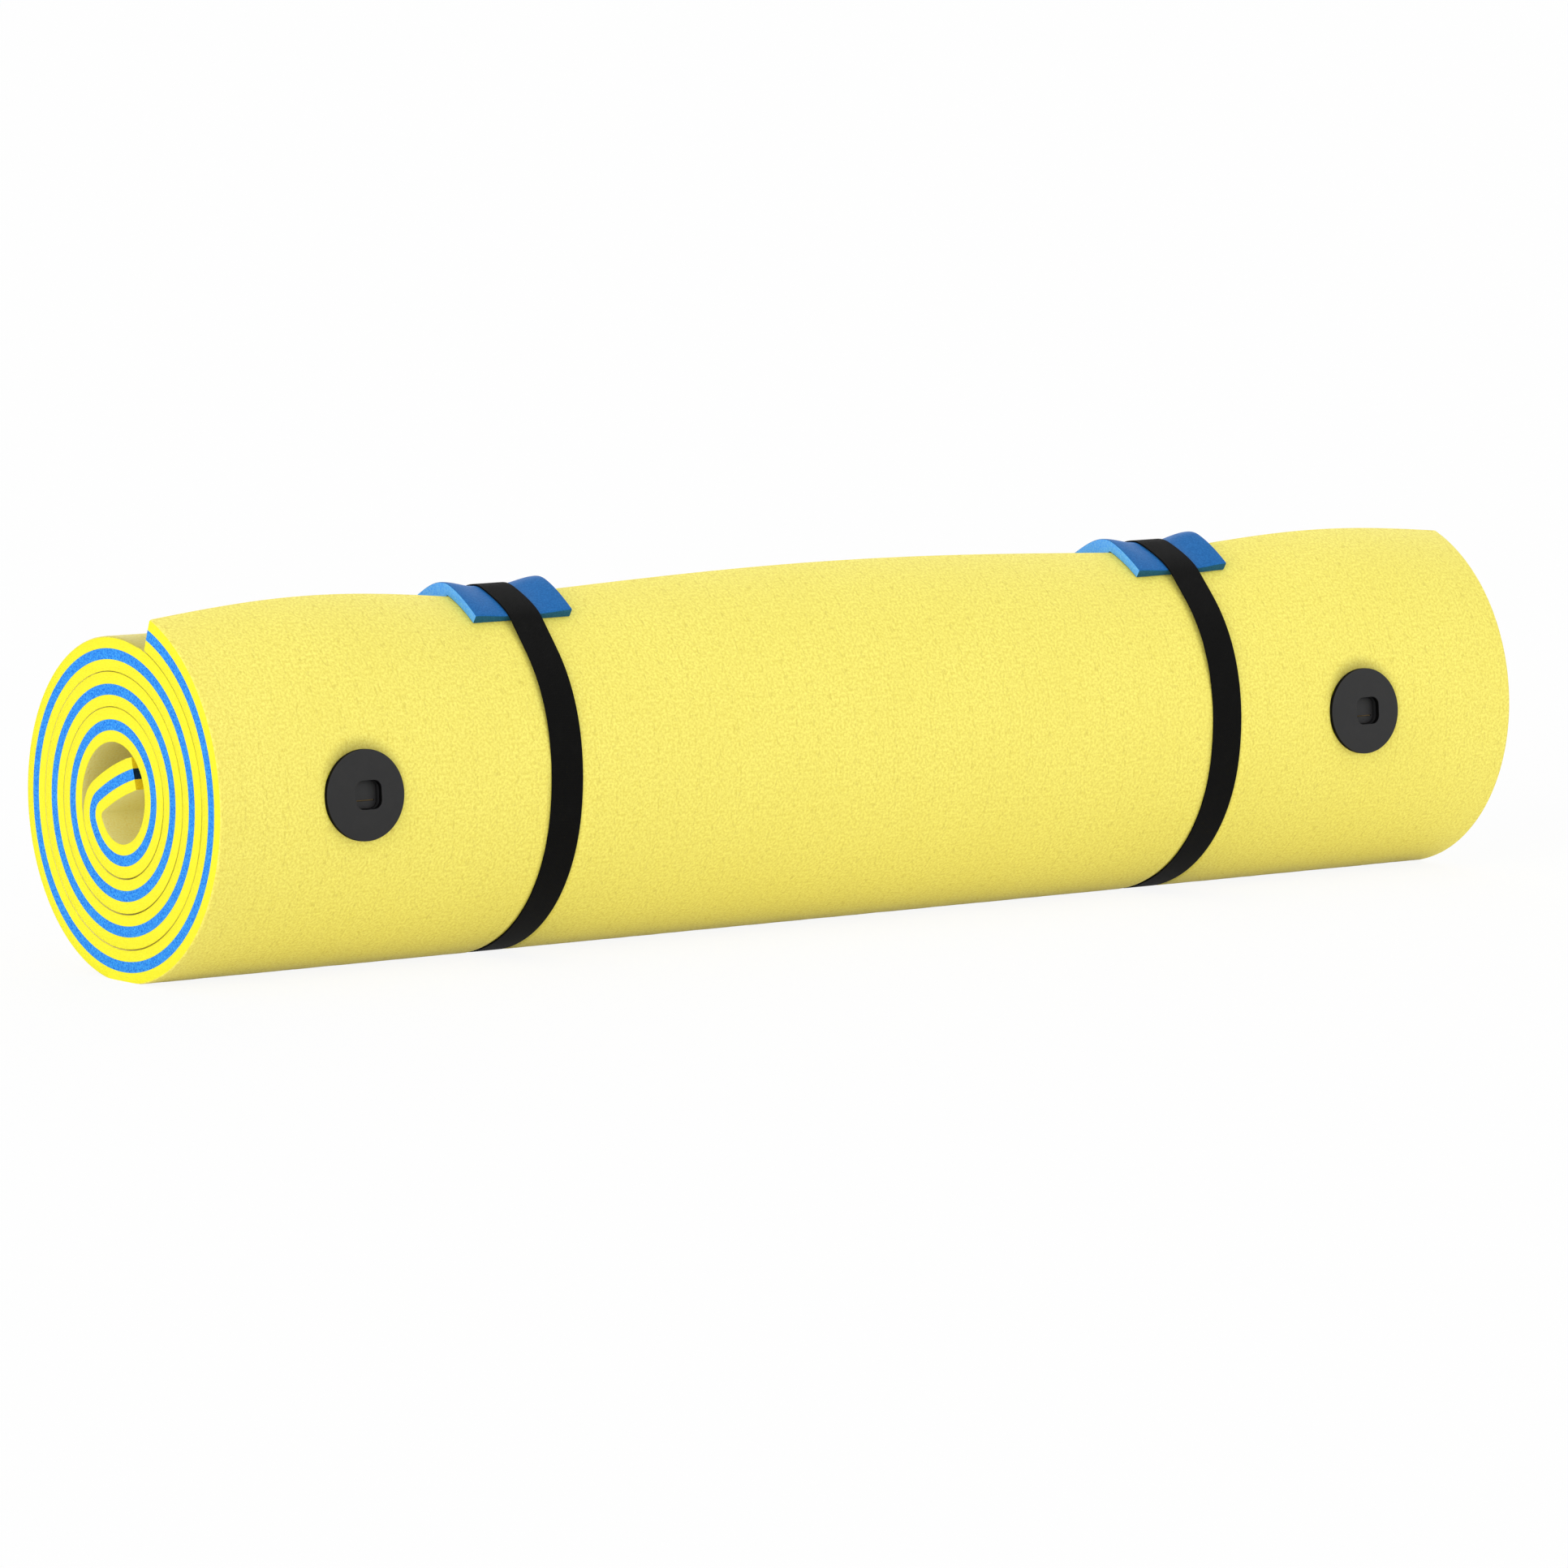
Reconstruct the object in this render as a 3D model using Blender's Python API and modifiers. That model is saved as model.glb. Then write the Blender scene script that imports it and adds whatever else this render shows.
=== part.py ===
# Rolled-up floating mat for swimming: a three-layer foam sheet wound into a roll, two round mooring
# anchors that go through its outer turn, and two hook-and-loop belts that each hold the roll shut over
# a bent foam pad.
#
# The roll lies along X and rests on the plane Z = 0. Its spiral is seen on the ends. -Y is the front,
# where the anchors are, and the belts close on the back. Angles round the roll are in degrees from the
# top towards the front, so the back is negative. Lengths are in metres.
import math

import bmesh
import bpy
from mathutils import Matrix, Vector

# Foam sheet
SHEET_WIDTH = 1.83
OUTER_SKIN = 0.0131
CORE_LAYER = 0.0118
INNER_SKIN = 0.0131
GAP = 0.0003
TURN_GAP = 0.0006

# Roll
FREE_EDGE_RADIUS = 0.219
FREE_EDGE_ANGLE = 19.0
COLUMNS_PER_TURN = 28
CORE_RADIUS = 0.0583
BEND_RADIUS = 0.024
BEND_ANGLE = 92.0
BEND_COLUMNS = 5
RUN_RADIUS = 0.30
RUN_LENGTH = 0.082
RUN_COLUMNS = 4
FOOT_SETTLE = 0.0012

# Free edge, which springs up between the belts
SPAN_LIFTS = (0.0160, 0.0148, 0.0124)
PAD_SIDE_LIFTS = ((0.0030, 0.0030), (0.0004, 0.0028))
PRESSED_LIFTS = (0.0030, 0.0010)
LIFT_ANGLE = 64.0
SPAN_STEPS = 6

# Belts
BELT_SHARES = (-0.25137, 0.26202)
BELT_WIDTH = 0.042
WEBBING = 0.0020
GROOVE_SIDE_GAP = 0.0010
GROOVE_SHOULDER = 0.0060
BELT_HOVER = 0.0074
HOVER_START_ANGLE = 50.0
HOVER_END_ANGLE = 98.0

# Pads under the belts
PAD_LENGTH = 0.130
PAD_THICKNESS = 0.0125
PAD_TIP_THICKNESS = 0.0108
PAD_PRESSED = 0.0055
PAD_TIP_PRESSED = 0.0078
PAD_FRONT_ANGLE = 34.0
PAD_REST_ANGLE = -6.0
PAD_FILL_ANGLE = 5.0
PAD_BACK_ANGLE = -22.0
PAD_COLUMNS = 16

# Belt closure on the back of the roll
RING_COLUMN = 21
RING_BAR = 0.0040
RING_SPAN = 0.018
RING_INNER_WIDTH = 0.046
RING_CORNER = 0.0030
WRAP_ANGLE = 200.0
WRAP_STEPS = 7
EYE_SHARE = 0.6
PATCH = 0.0010
LOOP_PATCH_START = 0.026
LOOP_PATCH_LENGTH = 0.130
HOOK_PATCH_START = 0.036
HOOK_PATCH_LENGTH = 0.078
PATCH_INSET = 0.0015
TAIL_LENGTH = 0.118
TAIL_FADE = 0.016
TAB_OVERLAP = 0.020
TAB_OVERHANG = 0.014
TAB_INSET = 0.003
TAB = 0.0024

# Mooring anchors
ANCHOR_SHARES = (-0.39869, 0.37525)
ANCHOR_ANGLE = 86.5
PLATE_RADIUS = 0.0506
PLATE_THICKNESS = 0.0055
PLATE_PROUD = 0.0035
PLATE_EDGE = 0.0010
SEAT_CLEARANCE = 0.0006
SLEEVE_RADIUS = 0.0240
WINDOW_WIDTH = 0.0336
WINDOW_HEIGHT = 0.0320
WINDOW_CORNER = 0.0100
WINDOW_ASIDE = 0.0042
WINDOW_DEPTH = 0.0115
BACK_PLATE_RADIUS = 0.038
BACK_PLATE = 0.0040
BACK_PLATE_EDGE = 0.0008
BACK_PLATE_BITE = 0.0036
POST_CLEARANCE = 0.0004
SLOT_HEIGHT = 0.0016
SLOT_SHARE = 0.30
SNAP_RIDGE = 0.0007
SNAP_HEIGHT = 0.0030
SNAP_DROP = 0.0120
PLATE_SEGMENTS = 40
BACK_SEGMENTS = 32
CORNER_SEGMENTS = 4
CUT_OVERRUN = 0.010

# Sizes that follow from the ones above
SHEET = OUTER_SKIN + GAP + CORE_LAYER + GAP + INNER_SKIN
PITCH = SHEET + TURN_GAP
COLUMN_ANGLE = 360.0 / COLUMNS_PER_TURN
SPIRAL_STEPS = round(COLUMNS_PER_TURN * (FREE_EDGE_RADIUS - SHEET / 2 - CORE_RADIUS) / PITCH)
HALF_WIDTH = SHEET_WIDTH / 2
BELT_PLACES = [share * SHEET_WIDTH for share in BELT_SHARES]
ANCHOR_PLACES = [share * SHEET_WIDTH for share in ANCHOR_SHARES]
RING_ANGLE = FREE_EDGE_ANGLE + (RING_COLUMN + 1 / 2) * COLUMN_ANGLE - 360.0
RING_BAR_RADIUS = RING_BAR / 2
BAR_HEIGHT = GAP + RING_BAR_RADIUS
WRAP_RADIUS = RING_BAR_RADIUS + GAP + WEBBING / 2
HOOK_HEIGHT = GAP + PATCH + GAP
TAIL_HEIGHT = HOOK_HEIGHT + PATCH + GAP + WEBBING / 2
TAB_HEIGHT = TAIL_HEIGHT + WEBBING / 2 + GAP + TAB / 2


def turn_radius(sweep):
    """Radius of the sheet's outer face, sweep degrees on from the free edge."""
    return FREE_EDGE_RADIUS - PITCH * sweep / 360.0


def surface_radius(angle):
    """Radius of the roll's outside at an angle round it."""
    return turn_radius((angle - FREE_EDGE_ANGLE) % 360.0)


def facet_radius(angle, height):
    """Radius at an angle on the flat facet between two columns of the foam's points, height over them."""
    along = (angle - FREE_EDGE_ANGLE) % COLUMN_ANGLE
    first = surface_radius(angle - along) + height
    second = surface_radius(angle - along + COLUMN_ANGLE) + height
    before = first * math.sin(math.radians(along))
    after = second * math.sin(math.radians(COLUMN_ANGLE - along))
    return first * second * math.sin(math.radians(COLUMN_ANGLE)) / (before + after)


def foot_drop():
    """Distance from the roll's axis down to the flat that the foam settles on."""
    drops = []
    for column in range(COLUMNS_PER_TURN):
        angle = FREE_EDGE_ANGLE + column * COLUMN_ANGLE
        drops.append(-surface_radius(angle) * math.cos(math.radians(angle)))
    drops.sort()
    return drops[-2] - FOOT_SETTLE


def smooth(share):
    """Ease from 0 to 1 as share goes from 0 to 1."""
    share = min(max(share, 0.0), 1.0)
    return share * share * (3.0 - 2.0 * share)


def behind_angle(along):
    """Angle round the roll at a distance on from the ring's middle, down the back."""
    return RING_ANGLE - math.degrees(along / surface_radius(RING_ANGLE))


ANCHOR_SURFACE = surface_radius(ANCHOR_ANGLE)
ANCHOR_TURN = math.radians(ANCHOR_ANGLE)
FRONT_REACH = (ANCHOR_SURFACE + PLATE_PROUD) * math.sin(ANCHOR_TURN) + PLATE_RADIUS * math.cos(ANCHOR_TURN)
TAB_START = RING_SPAN / 2 + TAIL_LENGTH - TAB_OVERLAP
TAB_ANGLE = behind_angle(TAB_START)
BACK_REACH = -facet_radius(TAB_ANGLE, TAB_HEIGHT + TAB / 2) * math.sin(math.radians(TAB_ANGLE))
AXIS_Y = (FRONT_REACH - BACK_REACH) / 2
AXIS_Z = foot_drop()


def round_the_roll(angle, radius):
    """Y and Z of a point at an angle and a radius from the roll's axis."""
    turn = math.radians(angle)
    return AXIS_Y - radius * math.sin(turn), AXIS_Z + radius * math.cos(turn)


def edge_lift(x):
    """How far the free edge stands up at x: least under the belts, most halfway between them."""
    half_pad = PAD_LENGTH / 2
    pressed = BELT_WIDTH / 2 + GROOVE_SIDE_GAP
    stops = [-HALF_WIDTH]
    lifts = [0.0]
    for place, sides, low in zip(BELT_PLACES, PAD_SIDE_LIFTS, PRESSED_LIFTS):
        if abs(x - place) <= half_pad:
            high = sides[0] if x < place else sides[1]
            return low + (high - low) * smooth((abs(x - place) - pressed) / (half_pad - pressed))
        stops += [place - half_pad, place + half_pad]
        lifts += sides
    stops.append(HALF_WIDTH)
    lifts.append(0.0)
    for span, top in enumerate(SPAN_LIFTS):
        left, right = stops[2 * span:2 * span + 2]
        low, high = lifts[2 * span:2 * span + 2]
        if left <= x <= right:
            share = (x - left) / (right - left)
            return low + (high - low) * share + (top - (low + high) / 2) * math.sin(math.pi * share)
    return 0.0


def flap_lift(x, sweep):
    """How far the loose outer turn stands off at x, sweep degrees down from its free edge."""
    if sweep >= LIFT_ANGLE:
        return 0.0
    return edge_lift(x) * math.cos(math.pi / 2 * sweep / LIFT_ANGLE) ** 2


def belt_hover(angle):
    """How far the belt's outer face stands over the roll on its way down from the pad's front edge."""
    share = (angle - HOVER_START_ANGLE) / (HOVER_END_ANGLE - HOVER_START_ANGLE)
    return BELT_HOVER * (1.0 - smooth(share))


def groove_depth(angle):
    """How deep the belt presses into the foam, nothing where it stands off it or lies on the pad."""
    angle = angle % 360.0
    if angle < PAD_FRONT_ANGLE or angle > 360.0 + PAD_BACK_ANGLE - COLUMN_ANGLE / 2:
        return 0.0
    return max(0.0, WEBBING + GAP - belt_hover(angle))


def make_material(name, color, roughness, metallic=0.0):
    material = bpy.data.materials.new(name)
    material.use_nodes = True
    shader = material.node_tree.nodes["Principled BSDF"]
    shader.inputs["Base Color"].default_value = (*color, 1.0)
    shader.inputs["Roughness"].default_value = roughness
    shader.inputs["Metallic"].default_value = metallic
    return material


def new_object(name, mesh, material, collection):
    obj = bpy.data.objects.new(name, mesh)
    if material:
        mesh.materials.append(material)
    collection.objects.link(obj)
    return obj


def new_mesh(name, bm):
    bmesh.ops.recalc_face_normals(bm, faces=bm.faces)
    mesh = bpy.data.meshes.new(name)
    bm.to_mesh(mesh)
    bm.free()
    mesh.shade_smooth()
    mesh.set_sharp_from_angle(angle=math.radians(35.0))
    return mesh


def zip_rows(bm, first, second):
    """Join two rows of points that run along X with triangles, whatever their spacing."""
    i = 0
    j = 0
    while i < len(first) - 1 or j < len(second) - 1:
        take_first = i < len(first) - 1
        if take_first and j < len(second) - 1:
            take_first = first[i + 1].co.x <= second[j + 1].co.x + GAP
        if take_first:
            bm.faces.new((first[i], first[i + 1], second[j]))
            i += 1
        else:
            bm.faces.new((first[i], second[j + 1], second[j]))
            j += 1


def bent_slab(name, outer_rows, inner_rows, material, collection):
    """Closed slab between two skins, each given as rows of points along X."""
    bm = bmesh.new()
    skins = []
    for rows in (outer_rows, inner_rows):
        skins.append([[bm.verts.new(point) for point in row] for row in rows])
    for skin in skins:
        for first, second in zip(skin[:-1], skin[1:]):
            zip_rows(bm, first, second)
    outer, inner = skins
    for end in (0, -1):
        zip_rows(bm, outer[end], inner[end])
        for row in range(len(outer) - 1):
            bm.faces.new((outer[row][end], outer[row + 1][end], inner[row + 1][end], inner[row][end]))
    return new_object(name, new_mesh(name, bm), material, collection)


def sheet_columns():
    """Middle line of the rolled sheet: angle, centre and radius of each column of points.

    Along the spiral the columns stand on the roll's axis. At the inner end the sheet bends back
    tightly and runs across the hollow core.
    """
    columns = []
    for column in range(SPIRAL_STEPS + 1):
        sweep = column * COLUMN_ANGLE
        middle = turn_radius(sweep) - SHEET / 2
        columns.append((sweep, (AXIS_Y, AXIS_Z), FREE_EDGE_ANGLE + sweep, middle))
    sweep, centre, angle, middle = columns[-1]
    y, z = round_the_roll(angle, middle - BEND_RADIUS)
    for step in range(1, BEND_COLUMNS + 1):
        turned = angle + BEND_ANGLE * step / BEND_COLUMNS
        columns.append((sweep, (y, z), turned, BEND_RADIUS))
    angle += BEND_ANGLE
    turn = math.radians(angle)
    y += (RUN_RADIUS - BEND_RADIUS) * math.sin(turn)
    z -= (RUN_RADIUS - BEND_RADIUS) * math.cos(turn)
    for step in range(1, RUN_COLUMNS + 1):
        turned = angle + math.degrees(RUN_LENGTH / RUN_RADIUS) * step / RUN_COLUMNS
        columns.append((sweep, (y, z), turned, RUN_RADIUS))
    return columns


def span_stations():
    """Places along the free edge where its wave is drawn."""
    half_pad = PAD_LENGTH / 2
    stops = [-HALF_WIDTH]
    for place in BELT_PLACES:
        stops += [place - half_pad, place + half_pad]
    stops.append(HALF_WIDTH)
    stations = []
    for left, right in zip(stops[0::2], stops[1::2]):
        stations += [left + (right - left) * step / SPAN_STEPS for step in range(SPAN_STEPS + 1)]
    return stations


def belt_stations():
    """Places along X where the belts' grooves begin, reach their floor and end."""
    floor = BELT_WIDTH / 2 + GROOVE_SIDE_GAP
    shoulder = floor + GROOVE_SHOULDER
    stations = []
    for place in BELT_PLACES:
        stations += [place - shoulder, place - floor, place + floor, place + shoulder]
    return stations


def in_groove(x):
    reach = BELT_WIDTH / 2 + GROOVE_SIDE_GAP + GAP
    return any(abs(x - place) <= reach for place in BELT_PLACES)


def foam_layer(name, depth, thickness, material, collection):
    """One layer of the rolled sheet, from a depth under its outer face."""
    skins = []
    for under in (depth, depth + thickness):
        rows = []
        for sweep, (centre_y, centre_z), angle, middle in sheet_columns():
            turn = math.radians(angle)
            outermost = under == 0.0 and sweep < 360.0
            grooved = outermost and groove_depth(angle) > 0.0
            stations = [-HALF_WIDTH, HALF_WIDTH]
            if sweep < LIFT_ANGLE + COLUMN_ANGLE:
                stations += span_stations()[1:-1]
            if outermost or sweep < LIFT_ANGLE + COLUMN_ANGLE:
                stations += belt_stations()
            row = []
            for x in sorted(stations):
                radius = middle + SHEET / 2 - under + flap_lift(x, sweep)
                floor = 0.0
                if grooved and in_groove(x):
                    radius -= groove_depth(angle)
                    floor = WEBBING + GAP
                z = centre_z + radius * math.cos(turn)
                if outermost:
                    z = max(z, floor)
                row.append((x, centre_y - radius * math.sin(turn), z))
            rows.append(row)
        skins.append(rows)
    return bent_slab(name, skins[0], skins[1], material, collection)


def pad_ground(x, angle, rest):
    """Radius of the ground under a pad: the flap, then down behind its free edge to the roll at rest."""
    if angle >= FREE_EDGE_ANGLE:
        return surface_radius(angle) + flap_lift(x, angle - FREE_EDGE_ANGLE) + GAP
    share = smooth((angle - rest) / (FREE_EDGE_ANGLE - rest))
    return surface_radius(angle) + share * (PITCH + edge_lift(x)) + GAP


def pad_thickness(x, place, angle):
    """A pad is pressed thin under its belt, least at its front tip, and is thickest beside it."""
    half_belt = BELT_WIDTH / 2
    away = smooth((abs(x - place) - half_belt) / (PAD_LENGTH / 2 - half_belt))
    tip = smooth(1.0 - (PAD_FRONT_ANGLE - angle) / (PAD_FRONT_ANGLE - FREE_EDGE_ANGLE))
    pressed = PAD_PRESSED + (PAD_TIP_PRESSED - PAD_PRESSED) * tip
    free = PAD_THICKNESS + (PAD_TIP_THICKNESS - PAD_THICKNESS) * tip
    return pressed + (free - pressed) * away


def pad_angles():
    span = PAD_FRONT_ANGLE - PAD_BACK_ANGLE
    angles = [PAD_FRONT_ANGLE - span * step / PAD_COLUMNS for step in range(PAD_COLUMNS + 1)]
    columns = [FREE_EDGE_ANGLE + COLUMN_ANGLE * step for step in (-3, -2, -1, 0, 1)]
    return sorted(angles + [angle for angle in columns if PAD_BACK_ANGLE < angle < PAD_FRONT_ANGLE])


def make_pad(name, place, material, collection):
    """Foam pad, bent over the roll from the flap to the turn behind it. It fills the step there."""
    floor = BELT_WIDTH / 2 + GROOVE_SIDE_GAP
    half = PAD_LENGTH / 2
    offsets = (-half, -(floor + half) / 2, -floor - GROOVE_SHOULDER, -floor, 0.0)
    stations = [place + offset for offset in offsets]
    stations += [place - offset for offset in reversed(offsets[:-1])]
    upper = []
    lower = []
    for angle in pad_angles():
        top = []
        bottom = []
        for x in stations:
            radius = pad_ground(x, angle, PAD_REST_ANGLE) + pad_thickness(x, place, angle)
            top.append((x, *round_the_roll(angle, radius)))
            bottom.append((x, *round_the_roll(angle, pad_ground(x, angle, PAD_FILL_ANGLE))))
        upper.append(top)
        lower.append(bottom)
    return bent_slab(name, upper, lower, material, collection)


def behind(along, height):
    """Point on the back: a distance on from the ring's middle, downwards, and a height over the roll."""
    angle = behind_angle(along)
    return round_the_roll(angle, facet_radius(angle, height))


def level_run(start, end, height):
    """Points along the back from start to end at one height, bent where the foam's facets meet."""
    points = [behind(start, height)]
    for column in range(RING_COLUMN, 0, -1):
        angle = FREE_EDGE_ANGLE + column * COLUMN_ANGLE - 360.0
        if behind_angle(end) < angle < behind_angle(start):
            points.append(round_the_roll(angle, surface_radius(angle) + height))
    points.append(behind(end, height))
    return points


def bar_wrap(bar, way):
    """Webbing round a ring bar, from under it to over it."""
    points = []
    for step in range(1, WRAP_STEPS + 1):
        turn = math.radians(WRAP_ANGLE * step / WRAP_STEPS)
        points.append(behind(bar + way * WRAP_RADIUS * math.sin(turn), BAR_HEIGHT - WRAP_RADIUS * math.cos(turn)))
    return points


def cross(first, second, third):
    return ((second[0] - first[0]) * (third[1] - first[1])
            - (second[1] - first[1]) * (third[0] - first[0]))


def taut(points):
    """The points of an open round that a tight belt touches, in their order."""
    hull = []
    for point in points:
        while len(hull) > 1 and cross(hull[-2], hull[-1], point) <= 0.0:
            hull.pop()
        hull.append(point)
    return hull


def belt_path(place):
    """Middle line of a belt: its sewn eye, over the pad, round the roll and back over the ring's bar."""
    bar = RING_SPAN / 2
    half = WEBBING / 2
    doubled = GAP + half
    angles = [FREE_EDGE_ANGLE + column * COLUMN_ANGLE for column in range(COLUMNS_PER_TURN)]
    behind_ring = [angle - 360.0 for angle in angles[RING_COLUMN + 1:]]
    lying = []
    for angle in behind_ring[:2]:
        lying.append(Vector(round_the_roll(angle, surface_radius(angle) + doubled)))
    path = [tuple(lying[0].lerp(lying[1], EYE_SHARE)), tuple(lying[0])]
    path += reversed(bar_wrap(-bar, 1.0))
    loop = [behind(-bar, -half)]
    for angle in behind_ring:
        if angle < PAD_BACK_ANGLE:
            loop.append(round_the_roll(angle, surface_radius(angle) - half))
    for angle in pad_angles():
        radius = pad_ground(place, angle, PAD_REST_ANGLE) + pad_thickness(place, place, angle)
        loop.append(round_the_roll(angle, radius + GAP + half))
    for angle in angles[:RING_COLUMN + 1]:
        if angle > PAD_FRONT_ANGLE:
            y, z = round_the_roll(angle, surface_radius(angle) + belt_hover(angle) - half)
            loop.append((y, max(z, half)))
    loop.append(behind(bar, -half))
    path += taut(loop)
    path += bar_wrap(bar, -1.0)
    return path


def make_strip(name, path, place, width, thickness, material, collection):
    """Flat webbing or patch along a path of points, with its width along X."""
    bm = bmesh.new()
    sides = []
    for x in (place - width / 2, place + width / 2):
        sides.append([bm.verts.new((x, y, z)) for y, z in path])
    for step in range(len(path) - 1):
        bm.faces.new((sides[0][step], sides[0][step + 1], sides[1][step + 1], sides[1][step]))
    obj = new_object(name, new_mesh(name, bm), material, collection)
    solidify = obj.modifiers.new("thickness", "SOLIDIFY")
    solidify.thickness = thickness
    solidify.offset = 0.0
    solidify.use_even_offset = True
    return obj


def rounded_outline(width, height, corner, segments):
    """Corner points of a rounded rectangle about the origin."""
    points = []
    for quarter, (side_x, side_y) in enumerate(((1, 1), (-1, 1), (-1, -1), (1, -1))):
        for step in range(segments + 1):
            turn = math.pi / 2 * (quarter + step / segments)
            x = side_x * (width / 2 - corner) + corner * math.cos(turn)
            y = side_y * (height / 2 - corner) + corner * math.sin(turn)
            points.append((x, y))
    return points


def make_ring(name, place, material, collection):
    """Rectangular ring of round bar, its long bars along X, lying flat against the back."""
    bar = RING_SPAN / 2
    upper = Vector(behind(-bar, BAR_HEIGHT))
    lower = Vector(behind(bar, BAR_HEIGHT))
    middle = (upper + lower) / 2
    down = lower - upper
    long_way = RING_INNER_WIDTH + RING_BAR
    curve = bpy.data.curves.new(name, "CURVE")
    curve.dimensions = "3D"
    curve.bevel_depth = RING_BAR_RADIUS
    curve.bevel_resolution = 2
    curve.resolution_u = 1
    spline = curve.splines.new("POLY")
    outline = rounded_outline(long_way, down.length, RING_CORNER, CORNER_SEGMENTS)
    spline.points.add(len(outline) - 1)
    for point, (x, y) in zip(spline.points, outline):
        point.co = (x, y, 0.0, 1.0)
    spline.use_cyclic_u = True
    curve.materials.append(material)
    obj = bpy.data.objects.new(name, curve)
    obj.location = (place, middle.x, middle.y)
    obj.rotation_euler = (math.atan2(-down.y, -down.x), 0.0, 0.0)
    collection.objects.link(obj)
    return obj


def turned_mesh(name, profile, segments):
    """Turned solid: the profile runs from the axis at the top down its outer side to the axis."""
    bm = bmesh.new()
    rings = [[bm.verts.new((0.0, 0.0, profile[0][1]))]]
    for radius, height in profile[1:-1]:
        ring = []
        for step in range(segments):
            turn = 2.0 * math.pi * step / segments
            ring.append(bm.verts.new((radius * math.cos(turn), radius * math.sin(turn), height)))
        rings.append(ring)
    rings.append([bm.verts.new((0.0, 0.0, profile[-1][1]))])
    for upper, lower in zip(rings[:-1], rings[1:]):
        for step in range(segments):
            corners = [upper[step % len(upper)], upper[(step + 1) % len(upper)]]
            corners += [lower[(step + 1) % len(lower)], lower[step % len(lower)]]
            bm.faces.new(list(dict.fromkeys(corners)))
    return new_mesh(name, bm)


def block_mesh(name, width, height, corner, low, high):
    """Upright block with rounded corners at the window's place, from low to high."""
    bm = bmesh.new()
    outline = rounded_outline(width, height, corner, CORNER_SEGMENTS)
    bottom = bm.faces.new([bm.verts.new((x + WINDOW_ASIDE, y, low)) for x, y in outline])
    made = bmesh.ops.extrude_face_region(bm, geom=[bottom])
    moved = [item for item in made["geom"] if isinstance(item, bmesh.types.BMVert)]
    bmesh.ops.translate(bm, verts=moved, vec=(0.0, 0.0, high - low))
    return new_mesh(name, bm)


def place_on_anchor(obj, x):
    """Stand an object on the roll with its own Z along the anchor's axis."""
    obj.location = (x, *round_the_roll(ANCHOR_ANGLE, ANCHOR_SURFACE))
    obj.rotation_euler = (ANCHOR_TURN, 0.0, 0.0)


def make_cutter(name, mesh, collection):
    cutter = new_object(name, mesh, None, collection)
    cutter.hide_render = True
    cutter.display_type = "WIRE"
    return cutter


def boolean(obj, cutter, operation):
    modifier = obj.modifiers.new(cutter.name, "BOOLEAN")
    modifier.operation = operation
    modifier.solver = "EXACT"
    modifier.object = cutter


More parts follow.
